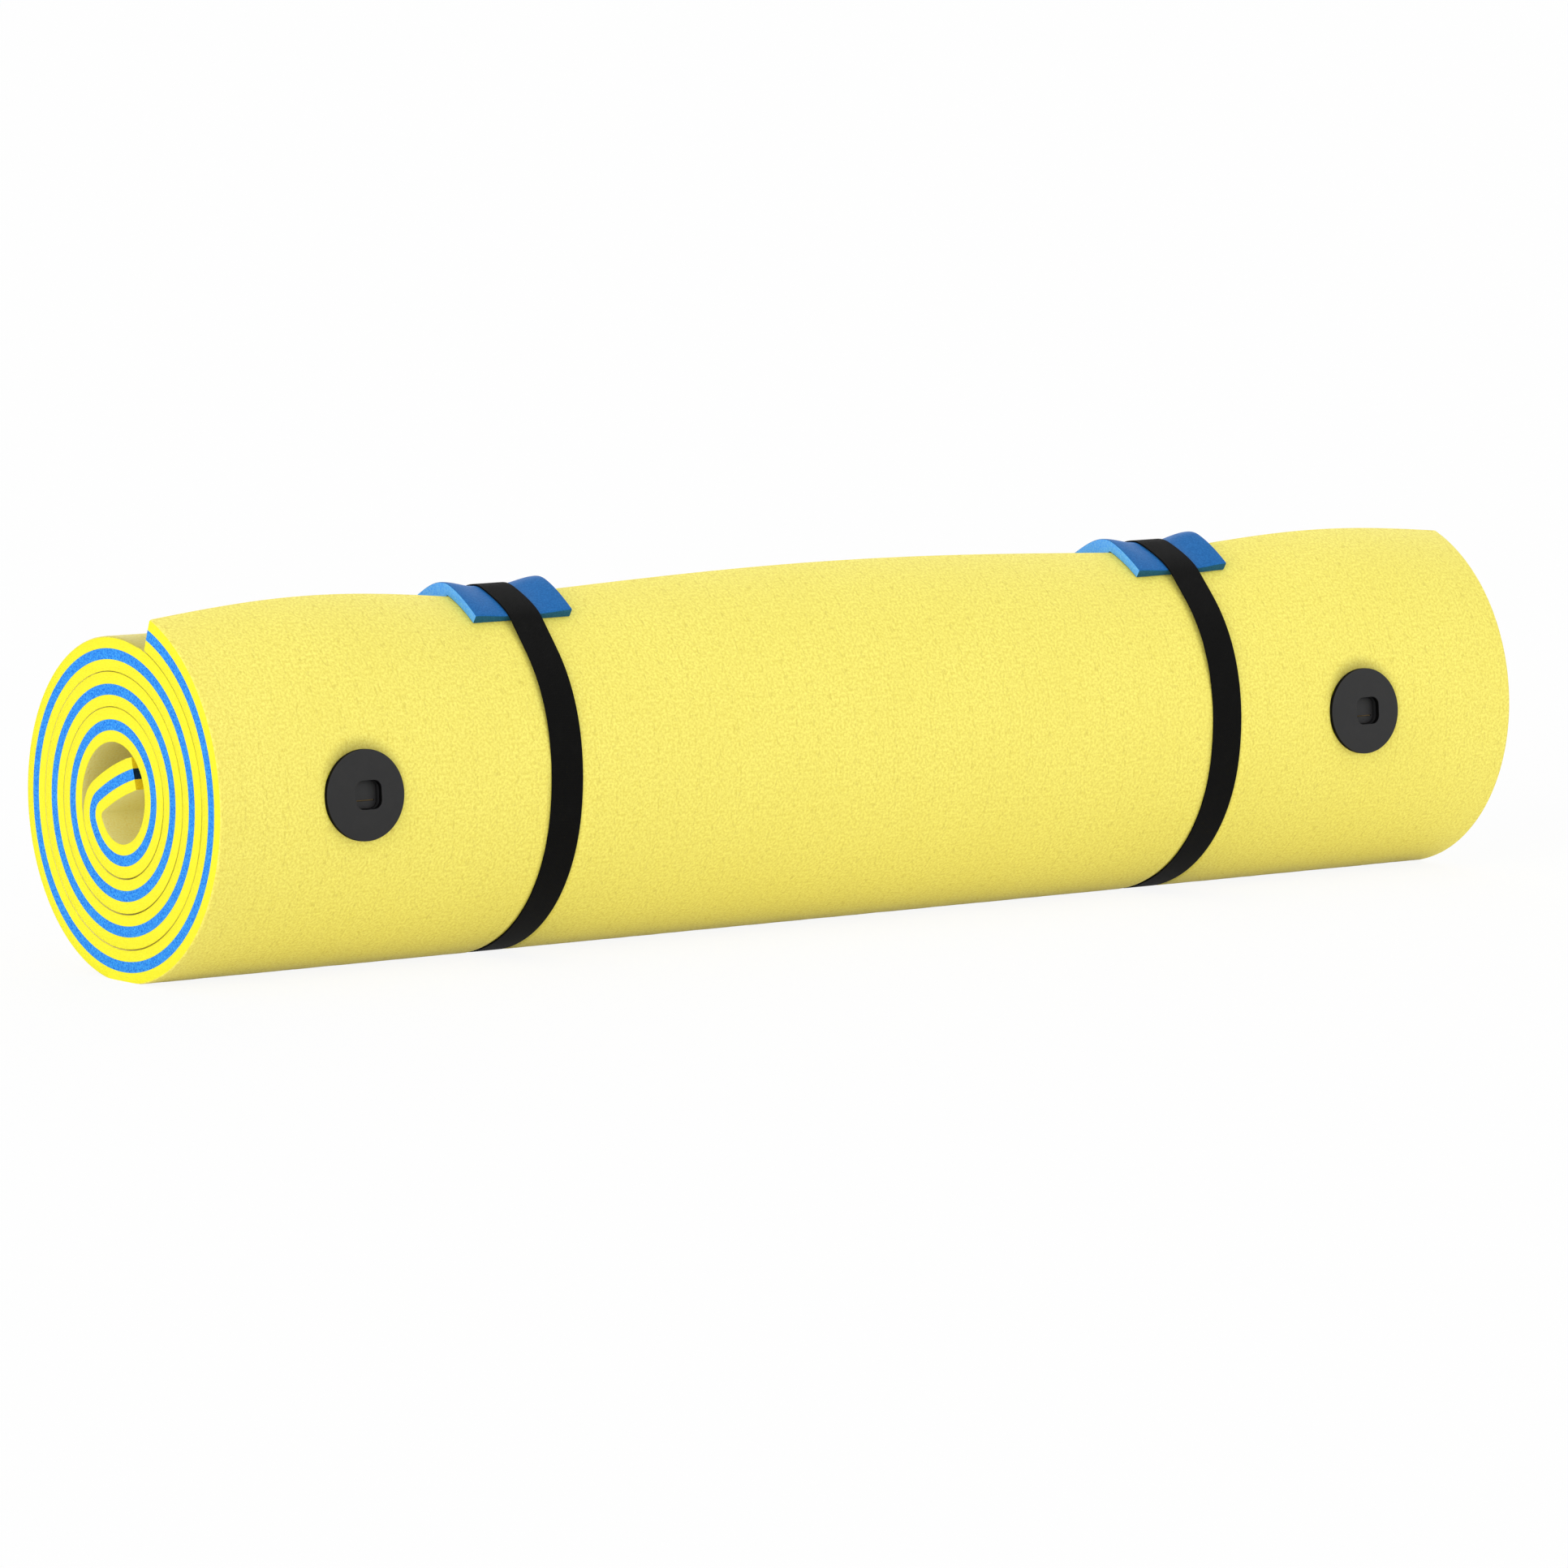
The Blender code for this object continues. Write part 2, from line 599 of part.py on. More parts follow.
def make_anchor(side, x, foam, material, parts, cutters):
    """Two plates that clamp the outer turn: a front plate with a sleeve and a back plate with a post."""
    top = PLATE_PROUD
    under = PLATE_PROUD - PLATE_THICKNESS
    back_face = -SHEET + BACK_PLATE_BITE
    front = turned_mesh(side + "_anchor_front_plate", [
        (0.0, top),
        (PLATE_RADIUS - PLATE_EDGE, top),
        (PLATE_RADIUS, top - PLATE_EDGE),
        (PLATE_RADIUS, under),
        (SLEEVE_RADIUS, under),
        (SLEEVE_RADIUS, back_face + GAP),
        (0.0, back_face + GAP),
    ], PLATE_SEGMENTS)
    front_plate = new_object(side + "_anchor_front_plate", front, material, parts)
    back = turned_mesh(side + "_anchor_back_plate", [
        (0.0, back_face),
        (BACK_PLATE_RADIUS - BACK_PLATE_EDGE, back_face),
        (BACK_PLATE_RADIUS, back_face - BACK_PLATE_EDGE),
        (BACK_PLATE_RADIUS, back_face - BACK_PLATE),
        (0.0, back_face - BACK_PLATE),
    ], BACK_SEGMENTS)
    back_plate = new_object(side + "_anchor_back_plate", back, material, parts)

    window = block_mesh(side + "_window", WINDOW_WIDTH, WINDOW_HEIGHT, WINDOW_CORNER,
                        back_face - CUT_OVERRUN, top + CUT_OVERRUN)
    window_cutter = make_cutter(side + "_window_cutter", window, cutters)
    post_width = WINDOW_WIDTH - 2 * POST_CLEARANCE
    post_height = WINDOW_HEIGHT - 2 * POST_CLEARANCE
    post_corner = WINDOW_CORNER - POST_CLEARANCE
    post_top = top - WINDOW_DEPTH
    post = block_mesh(side + "_post", post_width, post_height, post_corner,
                      back_face - BACK_PLATE / 2, post_top)
    post_tool = make_cutter(side + "_post_tool", post, cutters)
    ridge_top = post_top - SNAP_DROP
    ridge = block_mesh(side + "_ridge", post_width + 2 * SNAP_RIDGE, post_height + 2 * SNAP_RIDGE,
                       post_corner + SNAP_RIDGE, ridge_top - SNAP_HEIGHT, ridge_top)
    ridge_tool = make_cutter(side + "_ridge_tool", ridge, cutters)
    recess_grow = 2 * (SNAP_RIDGE + POST_CLEARANCE)
    recess = block_mesh(side + "_recess", post_width + recess_grow, post_height + recess_grow,
                        post_corner + SNAP_RIDGE + POST_CLEARANCE,
                        ridge_top - SNAP_HEIGHT - POST_CLEARANCE, ridge_top + POST_CLEARANCE)
    recess_cutter = make_cutter(side + "_recess_cutter", recess, cutters)
    slot = bpy.data.meshes.new(side + "_slot")
    bm = bmesh.new()
    bmesh.ops.create_cube(bm, size=1.0)
    slot_width = WINDOW_WIDTH - 2 * POST_CLEARANCE - WINDOW_CORNER / 2
    slot_reach = SHEET + 2 * CUT_OVERRUN
    slot_y = WINDOW_HEIGHT * (SLOT_SHARE - 1 / 2)
    bmesh.ops.transform(bm, matrix=Matrix.Translation((WINDOW_ASIDE, slot_y, -SHEET / 2))
                        @ Matrix.Diagonal((slot_width, SLOT_HEIGHT, slot_reach, 1.0)), verts=bm.verts)
    bm.to_mesh(slot)
    bm.free()
    slot_cutter = make_cutter(side + "_slot_cutter", slot, cutters)
    boolean(front_plate, window_cutter, "DIFFERENCE")
    boolean(front_plate, recess_cutter, "DIFFERENCE")
    boolean(back_plate, post_tool, "UNION")
    boolean(back_plate, ridge_tool, "UNION")
    boolean(back_plate, slot_cutter, "DIFFERENCE")

    bore = turned_mesh(side + "_bore", [
        (0.0, CUT_OVERRUN),
        (PLATE_RADIUS + SEAT_CLEARANCE, CUT_OVERRUN),
        (PLATE_RADIUS + SEAT_CLEARANCE, under - GAP),
        (SLEEVE_RADIUS + SEAT_CLEARANCE, under - GAP),
        (SLEEVE_RADIUS + SEAT_CLEARANCE, back_face - BACK_PLATE / 2),
        (0.0, back_face - BACK_PLATE / 2),
    ], PLATE_SEGMENTS)
    pocket_radius = BACK_PLATE_RADIUS + SEAT_CLEARANCE
    inside = ANCHOR_SURFACE - SHEET
    pocket_floor = -SHEET - (inside - math.sqrt(inside * inside - pocket_radius * pocket_radius)) - GAP
    pocket = turned_mesh(side + "_pocket", [
        (0.0, back_face + GAP),
        (pocket_radius, back_face + GAP),
        (pocket_radius, pocket_floor),
        (0.0, pocket_floor),
    ], BACK_SEGMENTS)
    bore_cutter = make_cutter(side + "_bore_cutter", bore, cutters)
    pocket_cutter = make_cutter(side + "_pocket_cutter", pocket, cutters)
    outer, core, inner = foam
    for layer in foam:
        boolean(layer, bore_cutter, "DIFFERENCE")
    for layer in (outer, inner):
        boolean(layer, pocket_cutter, "DIFFERENCE")
    for obj in (front_plate, back_plate, window_cutter, post_tool, ridge_tool, recess_cutter, slot_cutter,
                bore_cutter, pocket_cutter):
        place_on_anchor(obj, x)


def make_belt(side, place, materials, parts):
    """Webbing belt with its ring, hook and loop patches, loose tail and pull tab, and its pad."""
    bar = RING_SPAN / 2
    make_strip(side + "_belt_webbing", belt_path(place), place, BELT_WIDTH, WEBBING,
               materials["webbing"], parts)
    make_ring(side + "_belt_ring", place, materials["ring"], parts)
    loop_end = LOOP_PATCH_START + LOOP_PATCH_LENGTH
    patch_width = BELT_WIDTH - 2 * PATCH_INSET
    make_strip(side + "_loop_patch", level_run(LOOP_PATCH_START, loop_end, GAP + PATCH / 2), place,
               patch_width, PATCH, materials["loop"], parts)
    wrap = bar_wrap(bar, -1.0)
    turned = Vector(wrap[-1])
    down = (Vector(behind(bar + TAIL_FADE, TAIL_HEIGHT)) - turned).normalized()
    outwards = Vector((-down.y, down.x))
    tail_start = turned + 2 * GAP * down
    pivot = bpy.data.objects.new(side + "_tail_pivot", None)
    pivot.location = (place, *(turned + GAP * down + WEBBING / 2 * outwards))
    parts.objects.link(pivot)
    tail = [tuple(tail_start)]
    tail += level_run(bar + TAIL_FADE, bar + TAIL_LENGTH, TAIL_HEIGHT)
    hook_end = HOOK_PATCH_START + HOOK_PATCH_LENGTH
    tab_end = bar + TAIL_LENGTH + TAB_OVERHANG
    swinging = [
        make_strip(side + "_belt_tail", tail, place, BELT_WIDTH, WEBBING, materials["webbing"], parts),
        make_strip(side + "_hook_patch", level_run(HOOK_PATCH_START, hook_end, HOOK_HEIGHT + PATCH / 2),
                   place, patch_width, PATCH, materials["hook"], parts),
        make_strip(side + "_pull_tab", level_run(TAB_START, tab_end, TAB_HEIGHT), place,
                   BELT_WIDTH - 2 * TAB_INSET, TAB, materials["tab"], parts),
    ]
    for obj in swinging:
        obj.parent = pivot
        obj.location = -pivot.location
    make_pad(side + "_pad", place, materials["blue_foam"], parts)


def main():
    for obj in list(bpy.data.objects):
        bpy.data.objects.remove(obj, do_unlink=True)
    parts = bpy.data.collections.new("rolled_float_mat")
    cutters = bpy.data.collections.new("cutters")
    bpy.context.scene.collection.children.link(parts)
    bpy.context.scene.collection.children.link(cutters)
    materials = {
        "yellow_foam": make_material("yellow_foam", (0.93, 0.80, 0.10), 0.85),
        "blue_foam": make_material("blue_foam", (0.04, 0.24, 0.78), 0.85),
        "anchor": make_material("anchor_plastic", (0.035, 0.035, 0.036), 0.55),
        "webbing": make_material("webbing", (0.008, 0.008, 0.008), 0.80),
        "loop": make_material("loop_pile", (0.012, 0.012, 0.013), 0.95),
        "hook": make_material("hook_tape", (0.015, 0.015, 0.016), 0.60),
        "ring": make_material("ring_plastic", (0.012, 0.012, 0.013), 0.40),
        "tab": make_material("tab_rubber", (0.02, 0.02, 0.021), 0.65),
    }
    core_depth = OUTER_SKIN + GAP
    inner_depth = core_depth + CORE_LAYER + GAP
    yellow = materials["yellow_foam"]
    foam = (
        foam_layer("foam_outer_layer", 0.0, OUTER_SKIN, yellow, parts),
        foam_layer("foam_core_layer", core_depth, CORE_LAYER, materials["blue_foam"], parts),
        foam_layer("foam_inner_layer", inner_depth, INNER_SKIN, yellow, parts),
    )
    for side, x in zip(("left", "right"), ANCHOR_PLACES):
        make_anchor(side, x, foam, materials["anchor"], parts, cutters)
    for side, place in zip(("left", "right"), BELT_PLACES):
        make_belt(side, place, materials, parts)
    bpy.context.view_layer.update()


main()
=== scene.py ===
# %% [markdown]
# # A rolled-up foam mat for swimming
#
# The mat is one thick sheet of closed-cell foam, yellow on both sides with a blue core. It lies rolled
# up on the floor. Two black belts hold it shut, each over a bent pad of blue foam, and two round
# anchors of black plastic go through its outer turn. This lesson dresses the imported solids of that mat
# for a picture: each soft solid gets a finer piece in the same place, and every piece gets a material
# made of nodes.
#
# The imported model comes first, because it says where everything is and what moves with what. Lengths
# are in metres. The roll lies along X, its front with the anchors faces -Y, and angles round it are in
# degrees from the top towards the front.

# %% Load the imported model
import itertools
import math

import bmesh
import bpy
from mathutils import Matrix, Vector


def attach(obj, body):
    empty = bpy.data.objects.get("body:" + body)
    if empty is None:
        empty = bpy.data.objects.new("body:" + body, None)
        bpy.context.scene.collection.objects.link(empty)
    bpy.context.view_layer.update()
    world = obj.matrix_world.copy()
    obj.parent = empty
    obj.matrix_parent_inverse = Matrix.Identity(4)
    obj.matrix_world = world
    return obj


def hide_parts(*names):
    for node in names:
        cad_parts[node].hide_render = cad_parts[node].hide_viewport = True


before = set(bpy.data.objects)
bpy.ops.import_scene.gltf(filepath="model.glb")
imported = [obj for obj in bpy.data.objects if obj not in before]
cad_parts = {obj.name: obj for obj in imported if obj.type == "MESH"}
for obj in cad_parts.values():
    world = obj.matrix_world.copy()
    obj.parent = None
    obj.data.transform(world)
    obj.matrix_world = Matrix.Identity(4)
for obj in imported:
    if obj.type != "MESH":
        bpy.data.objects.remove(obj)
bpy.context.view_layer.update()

# %% [markdown]
# The sizes below are the ones that the solids were made with. A flat sheet needs only its width, its
# three thicknesses and the radii that it is rolled to, and everything else in the roll follows.

# %% Sizes of the sheet and its roll
HALF_WIDTH = 0.915
OUTER_SKIN = 0.0131
CORE_LAYER = 0.0118
INNER_SKIN = 0.0131
GAP = 0.0003
SHEET = OUTER_SKIN + CORE_LAYER + INNER_SKIN + 2 * GAP
PITCH = SHEET + 0.0006
FREE_EDGE_RADIUS = 0.219
FREE_EDGE_ANGLE = 19.0
SPIRAL_SWEEP = 101 * 360.0 / 28
BEND_RADIUS = 0.024
BEND_ANGLE = 92.0
RUN_RADIUS = 0.30
RUN_LENGTH = 0.082
AXIS_Y = 0.009712
AXIS_Z = 0.198447
LIFT_ANGLE = 64.0
print("the sheet is", round(SHEET * 1000, 1), "mm thick")

# %% Sizes of the belts, pads and anchors
BELTS = {"left": -0.460007, "right": 0.479497}
ANCHORS = {"left": -0.729603, "right": 0.686707}
BELT_WIDTH = 0.042
WEBBING = 0.0020
BELT_HOVER = 0.0074
HOVER_ANGLES = (50.0, 98.0)
GROOVE_HALF = BELT_WIDTH / 2 + 0.001
GROOVE_SHOULDER = 0.006
PAD_HALF = 0.065
PAD_THICKNESS = 0.0125
PAD_TIP_THICKNESS = 0.0108
PAD_PRESSED = 0.0055
PAD_TIP_PRESSED = 0.0078
PAD_FRONT_ANGLE = 34.0
PAD_REST_ANGLE = -6.0
PAD_FILL_ANGLE = 14.0
PAD_BACK_ANGLE = -22.0
RING_ANGLE = -64.5714
print("belts at", BELTS, "and anchors at", ANCHORS)

# %% [markdown]
# ## Rules for places on the roll
#
# Every turn of a rolled sheet lies one thickness further in than the turn before it, so its radius
# falls in step with the angle. These few functions give the radius at an angle and how far the loose
# edge springs up. The belts and pads use them too, so all the pieces agree on where the foam is.


# %% Radius and angle
def smooth(share):
    """Ease from 0 to 1 as share goes from 0 to 1."""
    share = min(max(share, 0.0), 1.0)
    return share * share * (3.0 - 2.0 * share)


def mix(low, high, share):
    return low + (high - low) * share


def turn_radius(sweep):
    return FREE_EDGE_RADIUS - PITCH * sweep / 360.0


def surface_radius(angle):
    return turn_radius((angle - FREE_EDGE_ANGLE) % 360.0)


def round_the_roll(angle, radius):
    """Y and Z of a point at an angle and a radius from the roll's axis."""
    turn = math.radians(angle)
    return AXIS_Y - radius * math.sin(turn), AXIS_Z + radius * math.cos(turn)


def sheet_length(sweep):
    """Length of the sheet's middle line down to an angle on from its free edge."""
    return math.radians(sweep) * (FREE_EDGE_RADIUS - SHEET / 2 - PITCH * sweep / 720.0)


SPIRAL_LENGTH = sheet_length(SPIRAL_SWEEP)
BEND_LENGTH = BEND_RADIUS * math.radians(BEND_ANGLE)
RUN_END = SPIRAL_LENGTH + BEND_LENGTH + RUN_LENGTH
print("the sheet is", round(RUN_END, 3), "m long")

# %% The loose edge, which springs up between the belts
SPAN_LIFTS = (0.0160, 0.0148, 0.0124)
PAD_SIDE_LIFTS = {"left": (0.0030, 0.0030), "right": (0.0004, 0.0028)}
PRESSED_LIFTS = {"left": 0.0030, "right": 0.0010}
PAD_SIDES = [place + way * PAD_HALF for place in BELTS.values() for way in (-1, 1)]
STOPS = [-HALF_WIDTH, *PAD_SIDES, HALF_WIDTH]
STOP_LIFTS = [0.0, *PAD_SIDE_LIFTS["left"], *PAD_SIDE_LIFTS["right"], 0.0]


def edge_lift(x):
    """How far the free edge stands up at x: least under the belts, most halfway between them."""
    for side, place in BELTS.items():
        aside = abs(x - place)
        if aside <= PAD_HALF:
            share = smooth((aside - GROOVE_HALF) / (PAD_HALF - GROOVE_HALF))
            return mix(PRESSED_LIFTS[side], PAD_SIDE_LIFTS[side][x >= place], share)
    for span, top in enumerate(SPAN_LIFTS):
        left, right = STOPS[2 * span:2 * span + 2]
        low, high = STOP_LIFTS[2 * span:2 * span + 2]
        if left <= x <= right:
            share = (x - left) / (right - left)
            return mix(low, high, share) + (top - (low + high) / 2) * math.sin(math.pi * share)
    return 0.0


def flap_lift(x, sweep):
    return edge_lift(x) * math.cos(math.pi / 2 * min(sweep / LIFT_ANGLE, 1.0)) ** 2


print("the edge springs up by", round(edge_lift(0.0) * 1000, 1), "mm at its middle")

# %% [markdown]
# A pad bridges the step at the free edge. Its underside follows the loose outer turn, drops steeply
# behind the edge, where the soft foam fills the step, and then lies on the turn behind it. Its upper
# face takes a wider bend.


# %% Pads: the ground under them and how thick they are
def pad_ground(x, angle, rest):
    """Radius of the flap, then of a slope down behind its free edge that meets the roll at rest."""
    if angle >= FREE_EDGE_ANGLE:
        return surface_radius(angle) + flap_lift(x, angle - FREE_EDGE_ANGLE) + GAP
    share = smooth((angle - rest) / (FREE_EDGE_ANGLE - rest))
    return surface_radius(angle) + share * (PITCH + edge_lift(x)) + GAP


def pad_thickness(offset, angle):
    """Thin under the belt, least so at the front tip, and thickest beside the belt."""
    away = smooth((abs(offset) - BELT_WIDTH / 2) / (PAD_HALF - BELT_WIDTH / 2))
    tip = smooth((angle - FREE_EDGE_ANGLE) / (PAD_FRONT_ANGLE - FREE_EDGE_ANGLE))
    return mix(mix(PAD_PRESSED, PAD_TIP_PRESSED, tip), mix(PAD_THICKNESS, PAD_TIP_THICKNESS, tip), away)


print("a pad is", PAD_THICKNESS * 1000, "mm thick")

# %% [markdown]
# The anchors are pulled tight, so the soft skin dips a little towards each one, most above it.

# %% Dips round the anchors
ANCHOR_ANGLE = 86.5
PLATE_RADIUS = 0.0506
DIP = 0.0014
DIP_REACH = 0.013
ANCHOR_SWEEP = ANCHOR_ANGLE - FREE_EDGE_ANGLE
ANCHOR_ALONG = sheet_length(ANCHOR_SWEEP)


def dip(x, sweep):
    """How far the outer skin is drawn in at x and a sweep: deepest at the upper edge of an anchor."""
    above = math.radians(ANCHOR_SWEEP - sweep) * turn_radius(ANCHOR_SWEEP)
    across = min(abs(x - place) for place in ANCHORS.values())
    reach = math.hypot(across, above)
    return DIP * (1.0 - smooth((reach - PLATE_RADIUS) / DIP_REACH)) * smooth(0.4 + 0.8 * above / max(reach, 0.001))


print("a dip is", DIP * 1000, "mm deep")

# %% [markdown]
# A tight belt takes the shortest way round: it touches the roll and the pad where they bulge and spans
# the hollows between. That is the convex hull of the points that it could touch, and the foam under it
# is pressed in by as much as the belt lies lower than the foam's own surface.

# %% The way of a tight belt
HALF_WEBBING = WEBBING / 2
RING_BAR = 0.0040
RING_SPAN = 0.018
BAR = RING_SPAN / 2
PRESS_REACH = 10.0
PRESS = 0.0014
BELT_STEP = 0.004
ARC_STEP = 1.5
PAD_STEP = 1.0


def pressed_surface(angle):
    """Radius of the roll under the closure, where ring and belt press the foam flat."""
    return surface_radius(angle) - PRESS * (1.0 - smooth(abs(angle - RING_ANGLE) / PRESS_REACH))


def behind_angle(along):
    return RING_ANGLE - math.degrees(along / surface_radius(RING_ANGLE))


def behind(along, height):
    """Point on the back: a distance on from the ring's middle, downwards, and a height over the roll."""
    angle = behind_angle(along)
    return round_the_roll(angle, pressed_surface(angle) + height)


def arc(angle, end, step, radius):
    """Points round the roll at steps, half a belt below radius(angle) and not below the floor."""
    points = []
    while angle < end:
        y, z = round_the_roll(angle, radius(angle) - HALF_WEBBING)
        points.append((y, max(z, HALF_WEBBING)))
        angle += step
    return points


def belt_loop(place):
    """Points that the belt could touch, from the ring's upper bar over the pad to its lower bar."""
    def on_pad(angle):
        return pad_ground(place, angle, PAD_REST_ANGLE) + pad_thickness(0.0, angle) + GAP + WEBBING

    def on_roll(angle):
        share = (angle - HOVER_ANGLES[0]) / (HOVER_ANGLES[1] - HOVER_ANGLES[0])
        return pressed_surface(angle - 360.0) + BELT_HOVER * (1.0 - smooth(share))

    return [behind(-BAR, -HALF_WEBBING),
            *arc(behind_angle(-BAR) + PAD_STEP, PAD_BACK_ANGLE - PAD_STEP / 2, ARC_STEP, pressed_surface),
            *arc(PAD_BACK_ANGLE, PAD_FRONT_ANGLE + PAD_STEP / 2, PAD_STEP, on_pad),
            *arc(PAD_FRONT_ANGLE + ARC_STEP, 360.0 + behind_angle(BAR) - PAD_STEP / 2, ARC_STEP, on_roll),
            behind(BAR, -HALF_WEBBING)]


def cross(first, second, third):
    return ((second[0] - first[0]) * (third[1] - first[1])
            - (second[1] - first[1]) * (third[0] - first[0]))


def taut(points):
    """The points that a tight belt really touches."""
    hull = []
    for point in points:
        while len(hull) > 1 and cross(hull[-2], hull[-1], point) <= 0.0:
            hull.pop()
        hull.append(point)
    return hull


def lengths_along(points):
    """Length of a path up to each of its points."""
    return [0.0, *itertools.accumulate(math.dist(*pair) for pair in zip(points, points[1:]))]


def resample(points, step):
    """Points at even steps along a path."""
    lengths = lengths_along(points)
    count = max(2, round(lengths[-1] / step))
    spaced = []
    leg = 0
    for number in range(count + 1):
        target = lengths[-1] * number / count
        while leg < len(points) - 2 and lengths[leg + 1] < target:
            leg += 1
        share = (target - lengths[leg]) / (lengths[leg + 1] - lengths[leg])
        spaced.append([mix(a, b, share) for a, b in zip(points[leg], points[leg + 1])])
    return spaced


def ease(points, rounds):
    """Round off the corners of a path, its ends kept."""
    for _ in range(rounds):
        inner = [[(a + 2 * b + c) / 4 for a, b, c in zip(*three)]
                 for three in zip(points, points[1:], points[2:])]
        points = [points[0], *inner, points[-1]]
    return points


BELT_LOOPS = {side: ease(resample(taut(belt_loop(place)), BELT_STEP), 3)
              for side, place in BELTS.items()}
for side, points in BELT_LOOPS.items():
    print(side, "belt is", round(lengths_along(points)[-1], 3), "m round the roll")

# %% How deep the foam is pressed under a belt
RING_REACH = 3
PAD_REACH = 2.0


def press_table(points):
    """Depth of the groove at each whole degree round the roll, from the belt's middle line."""
    found = [(math.degrees(math.atan2(AXIS_Y - y, z - AXIS_Z)), math.hypot(y - AXIS_Y, z - AXIS_Z))
             for y, z in points]
    table = []
    for degree in range(360):
        radius = min(found, key=lambda item: abs((item[0] - degree + 180.0) % 360.0 - 180.0))[1]
        covered = degree < PAD_FRONT_ANGLE or degree > 360.0 + PAD_BACK_ANGLE - PAD_REACH
        table.append(0.0 if covered else max(0.0, surface_radius(degree) - radius + HALF_WEBBING + GAP))
    ring = round(RING_ANGLE + 360.0)
    for degree in range(ring - RING_REACH, ring + RING_REACH + 1):
        table[degree] = surface_radius(degree) - pressed_surface(degree - 360.0) + WEBBING + GAP
    return table


PRESSES = {side: press_table(points) for side, points in BELT_LOOPS.items()}


def press(x, angle):
    """How far the outer skin is pushed in at x and an angle."""
    degree = math.floor(angle)
    for side, place in BELTS.items():
        aside = (abs(x - place) - GROOVE_HALF) / GROOVE_SHOULDER
        if aside < 1.0:
            before, after = (PRESSES[side][number % 360] for number in (degree, degree + 1))
            return mix(before, after, angle - degree) * (1.0 - smooth(aside))
    return 0.0


print("deepest groove", round(max(max(table) for table in PRESSES.values()) * 1000, 1), "mm")

# %% [markdown]
# ## One class for node trees
#
# A node tree written node by node hides its sums in a long list of links. This class wraps one output
# socket, so that arithmetic on it adds the Math nodes, and a formula in the script reads like the
# formula it makes. Any other node comes from its one method, which takes the node's type, its settings
# and what goes into its sockets. Shader trees and Geometry Nodes trees both use it.


# %% Wire: a socket that does arithmetic
class Wire:
    """One output of a node. Arithmetic on it adds Math nodes to its tree."""

    def __init__(self, tree, socket):
        self.tree = tree
        self.socket = socket

    @classmethod
    def node(cls, tree, kind, settings=None, sockets=None, output=0):
        """A new node: its settings first, then a value or a Wire for each named or numbered socket."""
        made = tree.nodes.new(kind)
        for name, value in (settings or {}).items():
            setattr(made, name, value)
        for name, value in (sockets or {}).items():
            if isinstance(value, Wire):
                tree.links.new(value.socket, made.inputs[name])
            else:
                made.inputs[name].default_value = value
        return cls(tree, made.outputs[output])

    def out(self, name):
        """Another output of the same node."""
        return Wire(self.tree, self.socket.node.outputs[name])

    def math(self, operation, *others):
        return math_node(self.tree, operation, self, *others)

    def __gt__(self, other):
        return self.math("GREATER_THAN", other)


def math_node(tree, operation, *values):
    return Wire.node(tree, "ShaderNodeMath", {"operation": operation}, dict(enumerate(values)))


def add_operator(sign, operation):
    """Give Wire an operator, with the Wire on its left or on its right."""
    setattr(Wire, f"__{sign}__", lambda self, other: math_node(self.tree, operation, self, other))
    setattr(Wire, f"__r{sign}__", lambda self, other: math_node(self.tree, operation, other, self))


OPERATORS = {"add": "ADD", "sub": "SUBTRACT", "mul": "MULTIPLY", "truediv": "DIVIDE"}
for sign, operation in OPERATORS.items():
    add_operator(sign, operation)
print("Wire does", list(OPERATORS))


# %% Small helpers for both kinds of tree
def limit(value, low=0.0, high=1.0):
    return Wire.node(value.tree, "ShaderNodeClamp", {}, {"Value": value, "Min": low, "Max": high})


def ramp_between(value, low, high):
    """0 below low and 1 above high, with an eased step between."""
    return Wire.node(value.tree, "ShaderNodeMapRange", {"interpolation_type": "SMOOTHSTEP"},
                     {"Value": value, "From Min": low, "From Max": high})


def blend_colours(factor, first, second):
    """Mix node for two colours, each three numbers or a Wire."""
    colours = [colour if isinstance(colour, Wire) else (*colour, 1.0) for colour in (first, second)]
    return Wire.node(factor.tree, "ShaderNodeMix", {"data_type": "RGBA"},
                     {0: factor, 6: colours[0], 7: colours[1]}, output=2)


def joined(tree, x, y, z=0.0):
    return Wire.node(tree, "ShaderNodeCombineXYZ", {}, {"X": x, "Y": y, "Z": z})


def split(vector):
    first = Wire.node(vector.tree, "ShaderNodeSeparateXYZ", {}, {0: vector})
    return first, first.out("Y"), first.out("Z")


def noise(vector, scale, detail=3.0, roughness=0.5):
    sockets = {"Vector": vector, "Scale": scale, "Detail": detail, "Roughness": roughness}
    return Wire.node(vector.tree, "ShaderNodeTexNoise", {}, sockets)


def object_place(tree):
    return Wire.node(tree, "ShaderNodeTexCoord", {}, {}, output="Object")


def flat_place(tree):
    """Across and along a sheet or a strip laid flat, in metres, and the two as one vector."""
    across, along, _ = split(Wire.node(tree, "ShaderNodeUVMap", {"uv_map": "flat"}))
    return across, along, joined(tree, across, along)


print("helpers are ready")

# %% [markdown]
# ## Materials
#
# Each finish starts from the same four steps: a colour that varies a little, a roughness, a bump and a
# link to the output. One helper does what they share, and hands the tree to a function that draws the
# pattern. Patterns read Object coordinates, so they keep their real size in metres, or the piece's own
# UV map where they follow the sheet or a belt.


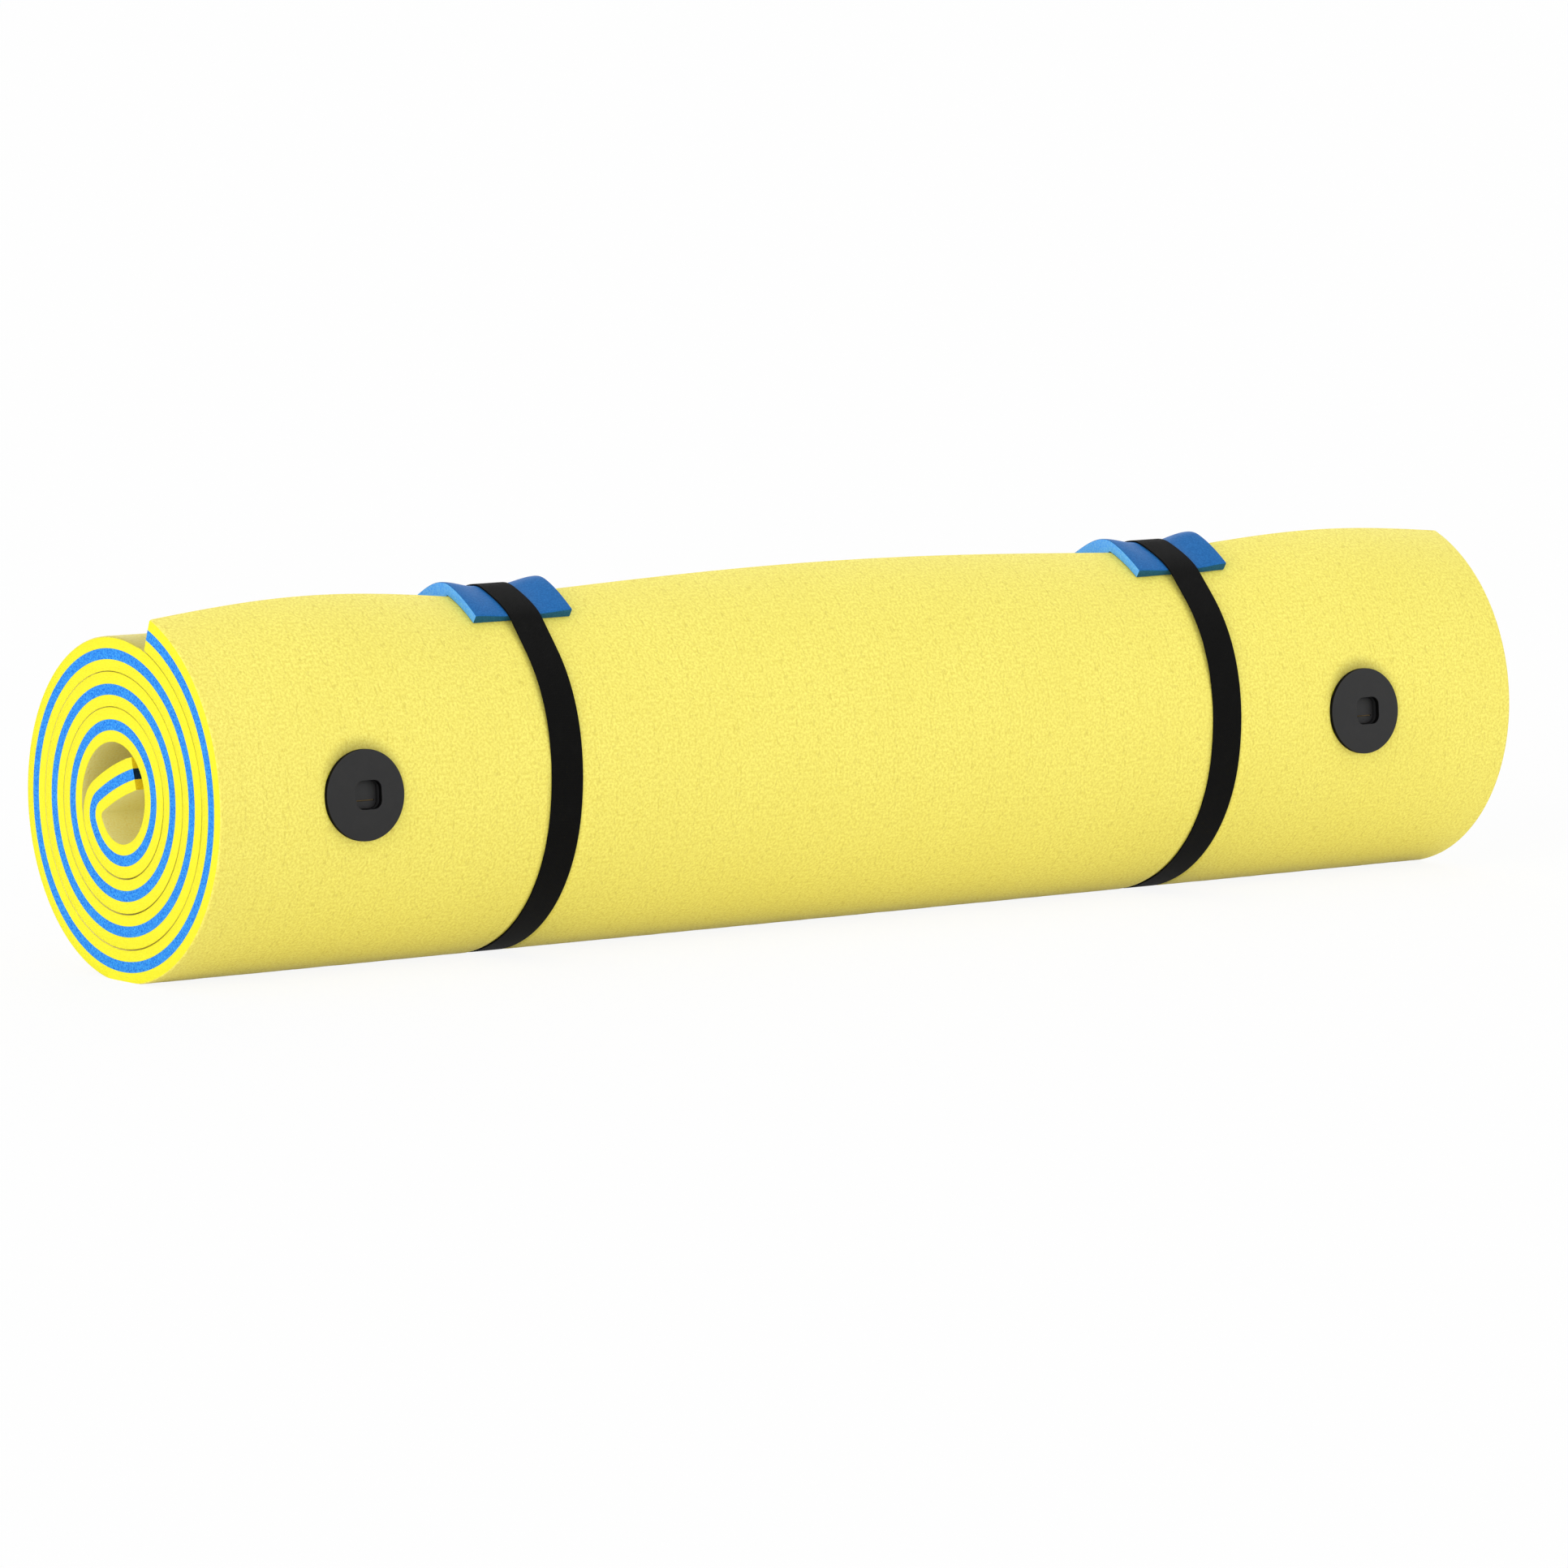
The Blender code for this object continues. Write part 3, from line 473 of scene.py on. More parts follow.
# %% Shared frame of a material
def new_finish(name, pattern, roughness=0.5, specular=0.5, sheen=0.0, glow=0.0):
    """Material whose pattern(tree) returns a dict of colour, bump in metres and other varying sockets."""
    material = bpy.data.materials.new(name)
    material.use_nodes = True
    tree = material.node_tree
    shader = tree.nodes["Principled BSDF"]
    levels = {"Roughness": roughness, "Specular IOR Level": specular, "Sheen Weight": sheen,
              "Emission Strength": glow}
    for socket, level in levels.items():
        shader.inputs[socket].default_value = level
    made = pattern(tree)
    if glow:
        made["Emission Color"] = made["Base Color"]
    made["Normal"] = Wire.node(tree, "ShaderNodeBump", {},
                               {"Height": made.pop("bump"), "Distance": 1.0, "Strength": 1.0})
    for socket, value in made.items():
        tree.links.new(value.socket, shader.inputs[socket])
    return material


print("materials can be made")

# %% [markdown]
# Foam that is cast against a smooth roller gets a thin closed skin. The mat's skin is a warm yellow
# with a fine grain, and short darker streaks stand in faint rows round the roll, left by the rollers
# of the machine. The pattern is drawn in the flat sheet's own length and width, kept in its UV map, so
# the streaks follow the roll round. Painted shade darkens the skin above the anchors and behind the free
# edge, and a faint painted glow of the inner skin keeps the inside of the roll from going quite dark.

# %% Foam skin
ROW_SPACING = 0.0275
# Painted shade: the skin is blended towards this colour above the anchors and behind the free edge.
PAINTED_SHADE_COLOUR = (0.34, 0.28, 0.05)
BEHIND_SHADE = 0.62
HOLLOW_SHARE = 0.5
ANCHOR_SHADE = 0.52
SHADE_START = PLATE_RADIUS - 0.004
# Painted light: the inner skin glows faintly at this strength, so the hollow of the roll is never quite dark.
PAINTED_GLOW = 0.11
BEHIND_EDGE = [sheet_length(angle) for angle in (318.0, 354.0, 400.0, 430.0)]


def painted_skin_shade(across, along):
    """Painted shade on the skin: above the anchors, and from behind the free edge inwards."""
    above = ANCHOR_ALONG - along
    shade = BEHIND_SHADE * ramp_between(along, *BEHIND_EDGE[:2])
    shade = shade * (1.0 - HOLLOW_SHARE * ramp_between(along, *BEHIND_EDGE[2:]))
    for place in ANCHORS.values():
        aside = across - place
        reach = (aside * aside + above * above).math("SQRT")
        near = 1.0 - ramp_between(reach, SHADE_START, PLATE_RADIUS + DIP_REACH)
        shade = shade + ANCHOR_SHADE * near * ramp_between(above / reach, 0.0, 1.0)
    return limit(shade)


def skin_pattern(low, high, speck):
    def pattern(tree):
        across, along, place = flat_place(tree)
        drift = 0.35 * noise(joined(tree, across * 6.0, along * 2.0), 1.0)
        row = (across / ROW_SPACING + drift).math("PINGPONG", 0.5)
        near_row = 1.0 - ramp_between(row, 0.04, 0.30)
        dashes = noise(joined(tree, across * 330.0, along * 120.0), 1.0, 2.0, 0.55)
        dark = ramp_between(dashes, 0.52, 0.70) * (0.35 + 0.65 * near_row)
        grain = noise(place, 330.0, 5.0, 0.75)
        cloud = noise(place, 9.0, 3.0, 0.5)
        colour = blend_colours(ramp_between(grain, 0.40, 0.60), low, high)
        colour = blend_colours(dark * 0.60, colour, speck)
        colour = blend_colours(ramp_between(cloud, 0.30, 0.72) * 0.14, colour, low)
        # Painted shade above the anchors and behind the free edge, half as strong further in.
        colour = blend_colours(painted_skin_shade(across, along), colour, PAINTED_SHADE_COLOUR)
        bump = grain * 0.00022 - dark * 0.00024 + cloud * 0.0006
        return {"Base Color": colour, "bump": bump, "Roughness": 0.62 - 0.10 * grain + 0.1 * dark}
    return pattern


outside_yellow = skin_pattern((0.86, 0.73, 0.113), (1.0, 0.905, 0.195), (0.74, 0.595, 0.09))
inside_yellow = skin_pattern((0.96, 0.86, 0.31), (1.0, 0.96, 0.44), (0.88, 0.75, 0.26))
skin = new_finish("foam_skin", outside_yellow, specular=0.3)
inner_skin = new_finish("foam_inner_skin", inside_yellow, specular=0.3, glow=PAINTED_GLOW)
print(skin.name, inner_skin.name)

# %% [markdown]
# A cut through the same foam opens its cells: the colour is purer, and tiny pores make it speckled. A
# Voronoi pattern of cells about a millimetre wide gives the pores.


# %% Cut foam
def cut_pattern(light, dark, pore_size=0.0011):
    def pattern(tree):
        place = object_place(tree)
        cells = Wire.node(tree, "ShaderNodeTexVoronoi", {"feature": "F1"},
                          {"Vector": place, "Scale": 1.0 / pore_size})
        grain = noise(place, 420.0, 4.0, 0.75)
        cloud = noise(place, 22.0, 3.0, 0.5)
        pores = ramp_between(cells, 0.25, 0.75)
        colour = blend_colours(pores * 0.40 + ramp_between(grain, 0.40, 0.62) * 0.60, light, dark)
        colour = blend_colours(ramp_between(cloud, 0.35, 0.75) * 0.14, colour, dark)
        bump = grain * 0.00015 - pores * 0.00022 + cloud * 0.0004
        return {"Base Color": colour, "bump": bump, "Roughness": 0.72 + 0.16 * pores}
    return pattern


CUTS = {
    "cut_yellow_foam": ((1.0, 0.945, 0.042), (0.96, 0.885, 0.029)),
    "cut_blue_foam": ((0.060, 0.43, 1.0), (0.007, 0.145, 0.74), 0.0020),
    # Painted shade: darker copies of the yellow and blue cut foam for the sheet's inner end.
    "inner_end_painted_shade_yellow": ((0.98, 0.72, 0.014), (0.82, 0.58, 0.010)),
    "inner_end_painted_shade_blue": ((0.002, 0.027, 0.070), (0.001, 0.014, 0.044)),
    "cut_pad_foam": ((0.19, 0.55, 1.0), (0.07, 0.33, 1.0)),
    # Painted shade: a darker copy of the cut pad foam for the pads' front faces.
    "cut_pad_painted_shade_front": ((0.022, 0.135, 0.24), (0.012, 0.09, 0.17)),
    # Painted shade: a dim copy of the yellow foam for the foam seen in the anchors' slots.
    "foam_in_slot_painted_shade": ((0.24, 0.175, 0.085), (0.17, 0.125, 0.065)),
}
cut_yellow, cut_blue, yellow_end_painted_shade, blue_end_painted_shade, pad_cut, painted_shade_pad_front, slot_foam_painted_shade = [
    new_finish(name, cut_pattern(*look), specular=0.15) for name, look in CUTS.items()]
print(list(CUTS))


# %% Skin of the pads
def pad_pattern(tree):
    place = object_place(tree)
    grain = noise(place, 480.0, 4.0, 0.75)
    cloud = noise(place, 30.0, 3.0, 0.5)
    colour = blend_colours(ramp_between(grain, 0.38, 0.64), (0.009, 0.108, 0.345), (0.020, 0.165, 0.47))
    colour = blend_colours(ramp_between(cloud, 0.35, 0.70) * 0.25, colour, (0.018, 0.150, 0.43))
    bump = grain * 0.00014 + cloud * 0.0005
    return {"Base Color": colour, "bump": bump, "Roughness": 0.60 - 0.08 * grain}


pad_skin = new_finish("pad_skin", pad_pattern, specular=0.08)
print(pad_skin.name)

# %% [markdown]
# The anchors and rings are moulded plastic. The mould is spark-eroded, which leaves a fine even grain,
# and handling polishes the raised edges a little.


# %% Moulded plastic
def plastic_pattern(colour, worn, grain_size):
    def pattern(tree):
        place = object_place(tree)
        grain = noise(place, 1.0 / grain_size, 3.0, 0.6)
        smear = noise(place, 45.0, 4.0, 0.6)
        shade = blend_colours(ramp_between(smear, 0.40, 0.75) * 0.5, colour, worn)
        shade = blend_colours(ramp_between(grain, 0.45, 0.75) * 0.3, shade, worn)
        return {"Base Color": shade, "bump": grain * 0.00009, "Roughness": 0.52 + 0.16 * smear}
    return pattern


PLASTICS = {
    "anchor_moulding": ((0.0150, 0.0150, 0.0156), (0.0235, 0.0235, 0.0242), 0.0007, 0.28),
    "anchor_post_moulding": ((0.023, 0.023, 0.0235), (0.035, 0.035, 0.0355), 0.0007, 0.35),
    # Painted shade: a near-black copy of the moulding for the plate's side and the upper window walls.
    "anchor_side_painted_shade": ((0.0012, 0.0012, 0.0012), (0.004, 0.004, 0.004), 0.0007, 0.06),
    "ring_moulding": ((0.011, 0.011, 0.012), (0.022, 0.022, 0.024), 0.0004, 0.6),
}
anchor_plastic, post_plastic, anchor_side_painted_shade, ring_plastic = [
    new_finish(name, plastic_pattern(*look), specular=specular)
    for name, (*look, specular) in PLASTICS.items()]
print(list(PLASTICS))

# %% [markdown]
# Polypropylene webbing is a plain weave of thick warp bundles with a thin weft under them. Along the
# belt each bundle shows as a row of ovals, and neighbouring rows are half a step apart. Two waves in
# the belt's own UV map, one across and one along, draw the ovals.

# %% Webbing, and twisted bands for the sewing thread
BUNDLE = 0.0016
PICK = 0.0026


def weave_pattern(tree):
    across, along, place = flat_place(tree)
    column = across / BUNDLE
    shift = column.math("FLOOR").math("MODULO", 2.0) * 0.5
    side = column.math("FRACT") - 0.5
    step = (along / PICK + shift).math("FRACT") - 0.5
    oval = 1.0 - limit(4.0 * (side * side) + 3.2 * (step * step))
    fibres = noise(joined(tree, across * 9000.0, along * 900.0), 1.0, 2.0, 0.6)
    cloud = noise(place, 40.0, 3.0, 0.6)
    shade = oval * 0.75 + fibres * 0.35 - 0.1
    colour = blend_colours(limit(shade), (0.0012, 0.0012, 0.0012), (0.0062, 0.0062, 0.0058))
    colour = blend_colours(ramp_between(cloud, 0.5, 0.8) * 0.3, colour, (0.0085, 0.0085, 0.008))
    bump = oval * 0.00035 + fibres * 0.00008
    return {"Base Color": colour, "bump": bump, "Roughness": 0.86 - 0.14 * fibres}


def thread_pattern(tree):
    twist = Wire.node(tree, "ShaderNodeTexWave", {"wave_type": "BANDS", "bands_direction": "DIAGONAL"},
                      {"Vector": object_place(tree), "Scale": 700.0, "Distortion": 1.0})
    colour = blend_colours(twist, (0.003, 0.003, 0.003), (0.013, 0.013, 0.0125))
    return {"Base Color": colour, "bump": twist * 0.00005}


webbing = new_finish("belt_webbing_weave", weave_pattern, roughness=0.85, specular=0.07)
thread = new_finish("sewing_thread", thread_pattern, roughness=0.7, specular=0.2)
print(webbing.name, thread.name)

# %% Loop pile, hook tape and the rubber of the pull tabs
WEFT = 0.0009


def pile_pattern(tree):
    place = flat_place(tree)[2]
    fuzz = noise(place, 1500.0, 5.0, 0.75)
    tuft = noise(place, 260.0, 2.0, 0.5)
    shade = limit(fuzz * 0.8 + tuft * 0.5 - 0.2)
    colour = blend_colours(shade, (0.004, 0.004, 0.004), (0.024, 0.024, 0.025))
    return {"Base Color": colour, "bump": fuzz * 0.0004 + tuft * 0.0005}


def tape_pattern(tree):
    _, along, place = flat_place(tree)
    weft = (along / WEFT).math("FRACT") - 0.5
    ridge = 1.0 - 4.0 * (weft * weft)
    grain = noise(place, 1200.0, 3.0, 0.6)
    colour = blend_colours(ridge * 0.6 + grain * 0.4, (0.008, 0.008, 0.008), (0.020, 0.020, 0.021))
    return {"Base Color": colour, "bump": ridge * 0.00012 + grain * 0.00005}


def rubber_pattern(tree):
    place = object_place(tree)
    grain = noise(place, 1400.0, 3.0, 0.6)
    cloud = noise(place, 60.0, 3.0, 0.5)
    colour = blend_colours(ramp_between(cloud, 0.4, 0.75), (0.015, 0.015, 0.0155), (0.026, 0.026, 0.027))
    return {"Base Color": colour, "bump": grain * 0.00006, "Roughness": 0.60 + 0.15 * cloud}


loop_pile = new_finish("loop_pile_fuzz", pile_pattern, roughness=0.95, specular=0.2, sheen=0.15)
hook_tape = new_finish("hook_tape_weave", tape_pattern, roughness=0.6)
tab_rubber = new_finish("tab_rubber_grain", rubber_pattern, specular=0.4)
print(loop_pile.name, hook_tape.name, tab_rubber.name)

# %% [markdown]
# ## The foam sheet, laid flat
#
# The real mat is made flat and rolled up later, and the same order works here. Each of its three
# layers starts as a flat closed slab: X runs across the mat, Y is the distance from the free edge, and
# -Z is the depth below the outer skin. Points are dense only where they are needed, in the outer turn,
# and rows with different numbers of points are zipped together with triangles. The rounded rims of the
# sheet are in this flat section too. Two vertex attributes go along: how far the loose edge springs up,
# and how far a belt presses the skin in.

# %% Rows of points and the slabs between them
RIM_STEPS = 4


def new_object(name, mesh, *materials):
    obj = bpy.data.objects.new(name, mesh)
    for material in materials:
        mesh.materials.append(material)
    bpy.context.scene.collection.objects.link(obj)
    return obj


def shade_smooth(obj, sharp):
    """Shade a piece smooth, but for edges sharper than this many degrees."""
    obj.data.shade_smooth()
    obj.data.set_sharp_from_angle(angle=math.radians(sharp))
    return obj


def new_piece(name, bm, *materials):
    mesh = bpy.data.meshes.new(name)
    bm.to_mesh(mesh)
    bm.free()
    return new_object(name, mesh, *materials)


def settle(obj, node, body, slot):
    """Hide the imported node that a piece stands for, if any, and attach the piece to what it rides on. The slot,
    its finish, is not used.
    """
    if node:
        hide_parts(node)
    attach(obj, body)


def zip_rows(bm, first, second, material=0):
    """Faces between two rows that run along X, quads where the rows match and triangles elsewhere."""
    if len(first) == len(second):
        for corners in zip(first, first[1:], second[1:], second):
            bm.faces.new(corners).material_index = material
        return
    i = j = 0
    while i + j < len(first) + len(second) - 2:
        at_end = i == len(first) - 1
        if j == len(second) - 1 or (not at_end and first[i + 1].co.x <= second[j + 1].co.x + 1e-5):
            corners = (first[i], first[i + 1], second[j])
            i += 1
        else:
            corners = (first[i], second[j + 1], second[j])
            j += 1
        bm.faces.new(corners).material_index = material


def closed_slab(bm, *skins):
    """Closed slab between two skins of rows: skins get material 0, its four sides material 1."""
    upper, lower = [[[bm.verts.new(point) for point in row] for row in rows] for rows in skins]
    for rows in (upper, lower):
        for first, second in zip(rows, rows[1:]):
            zip_rows(bm, first, second)
    for end in (0, -1):
        zip_rows(bm, upper[end], lower[end], 1)
        for high, higher, low, lower_row in zip(upper, upper[1:], lower, lower[1:]):
            bm.faces.new((high[end], higher[end], lower_row[end], low[end])).material_index = 1
    bmesh.ops.recalc_face_normals(bm, faces=bm.faces)
    return upper, lower


def slab_of(bm, rows, section, point):
    """Closed slab with each skin's points from point(row, x, down, way): way is 1 above and -1 below."""
    skins = [[[point(row, x, down, way) for x, down in section] for row in rows] for way in (1, -1)]
    return closed_slab(bm, *skins)


def quarter(steps):
    """Sine and cosine at even steps of a quarter turn."""
    turns = [math.pi / 2 * step / steps for step in range(steps + 1)]
    return [(math.sin(turn), math.cos(turn)) for turn in turns]


def rounded_row(stations, half, depth, rim, inwards):
    """Points (x, depth) of one skin from side to side. Its rims curve in by rim."""
    if rim <= 0.0:
        return [(x, depth) for x in (-half, *stations, half)]
    end = [(half - rim * (1.0 - sine), depth + inwards * rim * (1.0 - cosine))
           for sine, cosine in quarter(RIM_STEPS)[:-1]]
    return [(-x, down) for x, down in reversed(end)] + [(x, depth) for x in stations] + end


print("slabs can be made")

# %% Where the points go
FINE_STEP = 0.0065
GROOVE_STEP = 0.0013
COARSE_STEP = 0.045
COLUMN = 360.0 / 168
DIP_SPAN = 20.0
LAYER_SEAM = 0.00004
RIM = 0.0022
TURN_RIM = 0.0005
TURN_GAPS = (0.0004, 0.0010)
INNER_HALF = HALF_WIDTH - 2 * RIM
BESIDE_BELT = (0.0, GROOVE_HALF, 0.0435, PAD_HALF)
BEND_ROWS = 12
RUN_ROWS = 8
FINE_SWEEP = 368.0
PRESSED_SWEEP = 360.0
CUT_SWEEP = 355.0
RIM_SWEEPS = (352.0, 362.0)
GROOVE_MARGIN = 0.001


def fine_stations():
    """Places across the mat for the outer turn, closest at the sides of the belts' grooves."""
    stations = []
    x = -INNER_HALF
    while x < INNER_HALF:
        stations.append(x)
        aside = min(abs(abs(x - place) - GROOVE_HALF - GROOVE_SHOULDER / 2) for place in BELTS.values())
        near_anchor = min(abs(x - place) for place in ANCHORS.values()) < PLATE_RADIUS + DIP_REACH
        if aside < GROOVE_SHOULDER / 2 + GROOVE_MARGIN:
            x += GROOVE_STEP
        else:
            x += FINE_STEP / 2 if near_anchor else FINE_STEP
    return stations


def coarse_stations():
    count = round(2 * INNER_HALF / COARSE_STEP)
    stations = {-INNER_HALF + 2 * INNER_HALF * step / count for step in range(count + 1)}
    for aside in BESIDE_BELT:
        stations |= {place + way * aside for place in BELTS.values() for way in (-1, 1)}
    return sorted(stations)


def sheet_columns():
    """(distance along the sheet, sweep) of each row of points, closest at the rounded free edge."""
    rims = [RIM * (1.0 - cosine) for _, cosine in quarter(RIM_STEPS)]
    columns = [(place, math.degrees(place / FREE_EDGE_RADIUS)) for place in rims]
    sweep = COLUMN
    while sweep < SPIRAL_SWEEP - COLUMN / 2:
        columns.append((sheet_length(sweep), sweep))
        sweep += COLUMN / 2 if ANCHOR_SWEEP - DIP_SPAN < sweep < ANCHOR_SWEEP else COLUMN
    past = [BEND_LENGTH * step / BEND_ROWS for step in range(BEND_ROWS + 1)]
    past += [BEND_LENGTH + RUN_LENGTH * step / RUN_ROWS for step in range(1, RUN_ROWS + 1)]
    return columns + [(SPIRAL_LENGTH + length, SPIRAL_SWEEP) for length in past]


STATIONS = {"fine": fine_stations(), "coarse": coarse_stations(), "ends": [-INNER_HALF, INNER_HALF]}
print({name: len(stations) for name, stations in STATIONS.items()}, "stations across")


# %% One flat layer
def rim_radius(lower, sweep):
    """Radius of a side rim: soft on the outside of the outer turn, and small where turns meet."""
    start, end = RIM_SWEEPS
    return TURN_RIM if lower else mix(TURN_RIM, RIM, smooth((end - sweep) / (end - start)))


def skin_row(place, sweep, last, lower, depth, rims):
    """Points of one skin across the sheet, at a place along it."""
    inwards = -1.0 if lower else 1.0
    rim = rim_radius(lower, sweep) if rims[lower] else 0.0
    kind = "coarse" if sweep < LIFT_ANGLE + 2 * COLUMN else "ends"
    if depth == 0.0 and sweep < FINE_SWEEP:
        kind = "fine"
    if rim and place < RIM:
        depth += inwards * (RIM - math.sqrt(max(0.0, RIM * RIM - (RIM - place) ** 2)))
    if rim and place == last:
        depth += inwards * TURN_RIM
    if lower and rims[1]:
        depth -= mix(*TURN_GAPS, 0.5 - 0.5 * math.cos(math.radians(FREE_EDGE_ANGLE + sweep)))
    row = rounded_row(STATIONS[kind], HALF_WIDTH, depth, rim, inwards)
    return [(x, place, -down) for x, down in row]


def flat_layer(name, depth, thickness, rims, *materials):
    """Flat slab from depth down. rims says whether its upper and its lower skin have rounded rims."""
    columns = sheet_columns()
    last = columns[-1][0]
    bm = bmesh.new()
    lift = bm.verts.layers.float.new("lift")
    pressed = bm.verts.layers.float.new("press")
    rows = [[skin_row(*column, last, lower, depth + lower * thickness, rims) for column in columns]
            for lower in (0, 1)]
    skins = closed_slab(bm, *rows)
    for lower, rows in enumerate(skins):
        for (_, sweep), row in zip(columns, rows):
            for vert in row:
                vert[lift] = flap_lift(vert.co.x, sweep)
                if depth == 0.0 and not lower and sweep < PRESSED_SWEEP:
                    vert[pressed] = press(vert.co.x, FREE_EDGE_ANGLE + sweep)
                    vert[lift] -= dip(vert.co.x, sweep)
    flat = bm.loops.layers.uv.new("flat")
    between_turns = sheet_length(CUT_SWEEP) if depth == 0.0 else -1.0
    for face in bm.faces:
        on_rim = min(abs(vert.co.x) for vert in face.verts) > HALF_WIDTH - TURN_RIM - 1e-6
        if on_rim and min(vert.co.y for vert in face.verts) > between_turns:
            face.material_index = 1
        for loop in face.loops:
            loop[flat].uv = loop.vert.co.xy
    return new_piece(name, bm, *materials)


core_depth = OUTER_SKIN + GAP
inner_depth = core_depth + CORE_LAYER + GAP
seam = GAP / 2 - LAYER_SEAM
layers = {
    "foam_outer_layer": flat_layer("outer_foam", 0.0, OUTER_SKIN + seam, (True, False), skin, cut_yellow),
    "foam_core_layer": flat_layer("core_foam", core_depth - seam, CORE_LAYER + 2 * seam, (False, False),
                                  cut_blue, cut_blue),
    "foam_inner_layer": flat_layer("inner_foam", inner_depth - seam, INNER_SKIN + seam, (False, True),
                                   inner_skin, cut_yellow),
}
print({obj.name: len(obj.data.vertices) for obj in layers.values()}, "points")

# %% [markdown]
# ## Rolling the sheet up with Geometry Nodes
#
# The roll is a rule: a point at some distance from the free edge ends up at an angle and a radius that
# follow from that distance alone. Geometry Nodes suit that, because one tree rolls all three layers
# and its inputs are the roll's own sizes. The distance along a spiral grows with the square of the
# angle, so the tree solves that for the angle. Past the spiral, the sheet's inner end bends back
# sharply and runs across the hollow core; there the centre and the radius change and the angle goes on.

# %% Trees, their inputs, and applying them
KINDS = {float: "Float", tuple: "Vector", bpy.types.Material: "Material"}


def new_tree(name, values):
    """Geometry Nodes tree with a named input for each of these values, and its group input."""
    tree = bpy.data.node_groups.new(name, "GeometryNodeTree")
    tree.interface.new_socket("Geometry", in_out="INPUT", socket_type="NodeSocketGeometry")
    tree.interface.new_socket("Geometry", in_out="OUTPUT", socket_type="NodeSocketGeometry")
    for label, value in values.items():
        tree.interface.new_socket(label, in_out="INPUT", socket_type="NodeSocket" + KINDS[type(value)])
    source = tree.nodes.new("NodeGroupInput")
    return tree, {socket.name: Wire(tree, socket) for socket in source.outputs if socket.name}


def end_tree(tree, geometry, *finishes):
    """Last nodes of a tree: real geometry, and each (material, where it goes), into the output."""
    last = Wire.node(tree, "GeometryNodeRealizeInstances", {}, {"Geometry": geometry})
    for material, where in finishes:
        last = Wire.node(tree, "GeometryNodeSetMaterial", {},
                         {"Geometry": last, "Selection": where, "Material": material})
    sink = tree.nodes.new("NodeGroupOutput")
    tree.links.new(last.socket, sink.inputs["Geometry"])
    return tree


def attribute(tree, name, kind="FLOAT"):
    return Wire.node(tree, "GeometryNodeInputNamedAttribute", {"data_type": kind}, {"Name": name})


def apply_modifiers(obj):
    """The evaluated shape becomes a plain mesh, and the modifiers go."""
    graph = bpy.context.evaluated_depsgraph_get()
    mesh = bpy.data.meshes.new_from_object(obj.evaluated_get(graph))
    mesh.name = obj.name
    obj.modifiers.clear()
    obj.data = mesh
    return obj


def run_tree(obj, tree, values):
    """Run a tree on an object with these values for its named inputs."""
    modifier = obj.modifiers.new(tree.name, "NODES")
    modifier.node_group = tree
    for item in tree.interface.items_tree:
        if item.in_out == "INPUT" and item.name in values:
            modifier[item.identifier] = values[item.name]
    return apply_modifiers(obj)


def cut_away(obj, cutters):
    for cutter in cutters:
        modifier = obj.modifiers.new(cutter.name, "BOOLEAN")
        modifier.operation = "DIFFERENCE"
        modifier.solver = "MANIFOLD"
        modifier.object = cutter
    return apply_modifiers(obj)


print("trees can be run")

# %% The tree that rolls the sheet up
RELIEF = 0.0009
WAVES = (36.0, 11.0)
FLOOR_BLEND = 0.0015


def roll_values():
    """Sizes of the roll, with the centres of its bend and last run, found as a compass would draw them."""
    angle = FREE_EDGE_ANGLE + SPIRAL_SWEEP
    middle = turn_radius(SPIRAL_SWEEP) - SHEET / 2
    bend_y, bend_z = round_the_roll(angle, middle - BEND_RADIUS)
    turn = math.radians(angle + BEND_ANGLE)
    run_y = bend_y + (RUN_RADIUS - BEND_RADIUS) * math.sin(turn)
    run_z = bend_z - (RUN_RADIUS - BEND_RADIUS) * math.cos(turn)
    return {"Outer radius": FREE_EDGE_RADIUS, "Pitch": PITCH, "Sheet": SHEET, "Start angle": FREE_EDGE_ANGLE,
            "Spiral length": SPIRAL_LENGTH, "Bend length": BEND_LENGTH, "Bend radius": BEND_RADIUS,
            "Run radius": RUN_RADIUS, "Axis": (0.0, AXIS_Y, AXIS_Z), "Bend centre": (0.0, bend_y, bend_z),
            "Run centre": (0.0, run_y, run_z), "Relief": RELIEF}


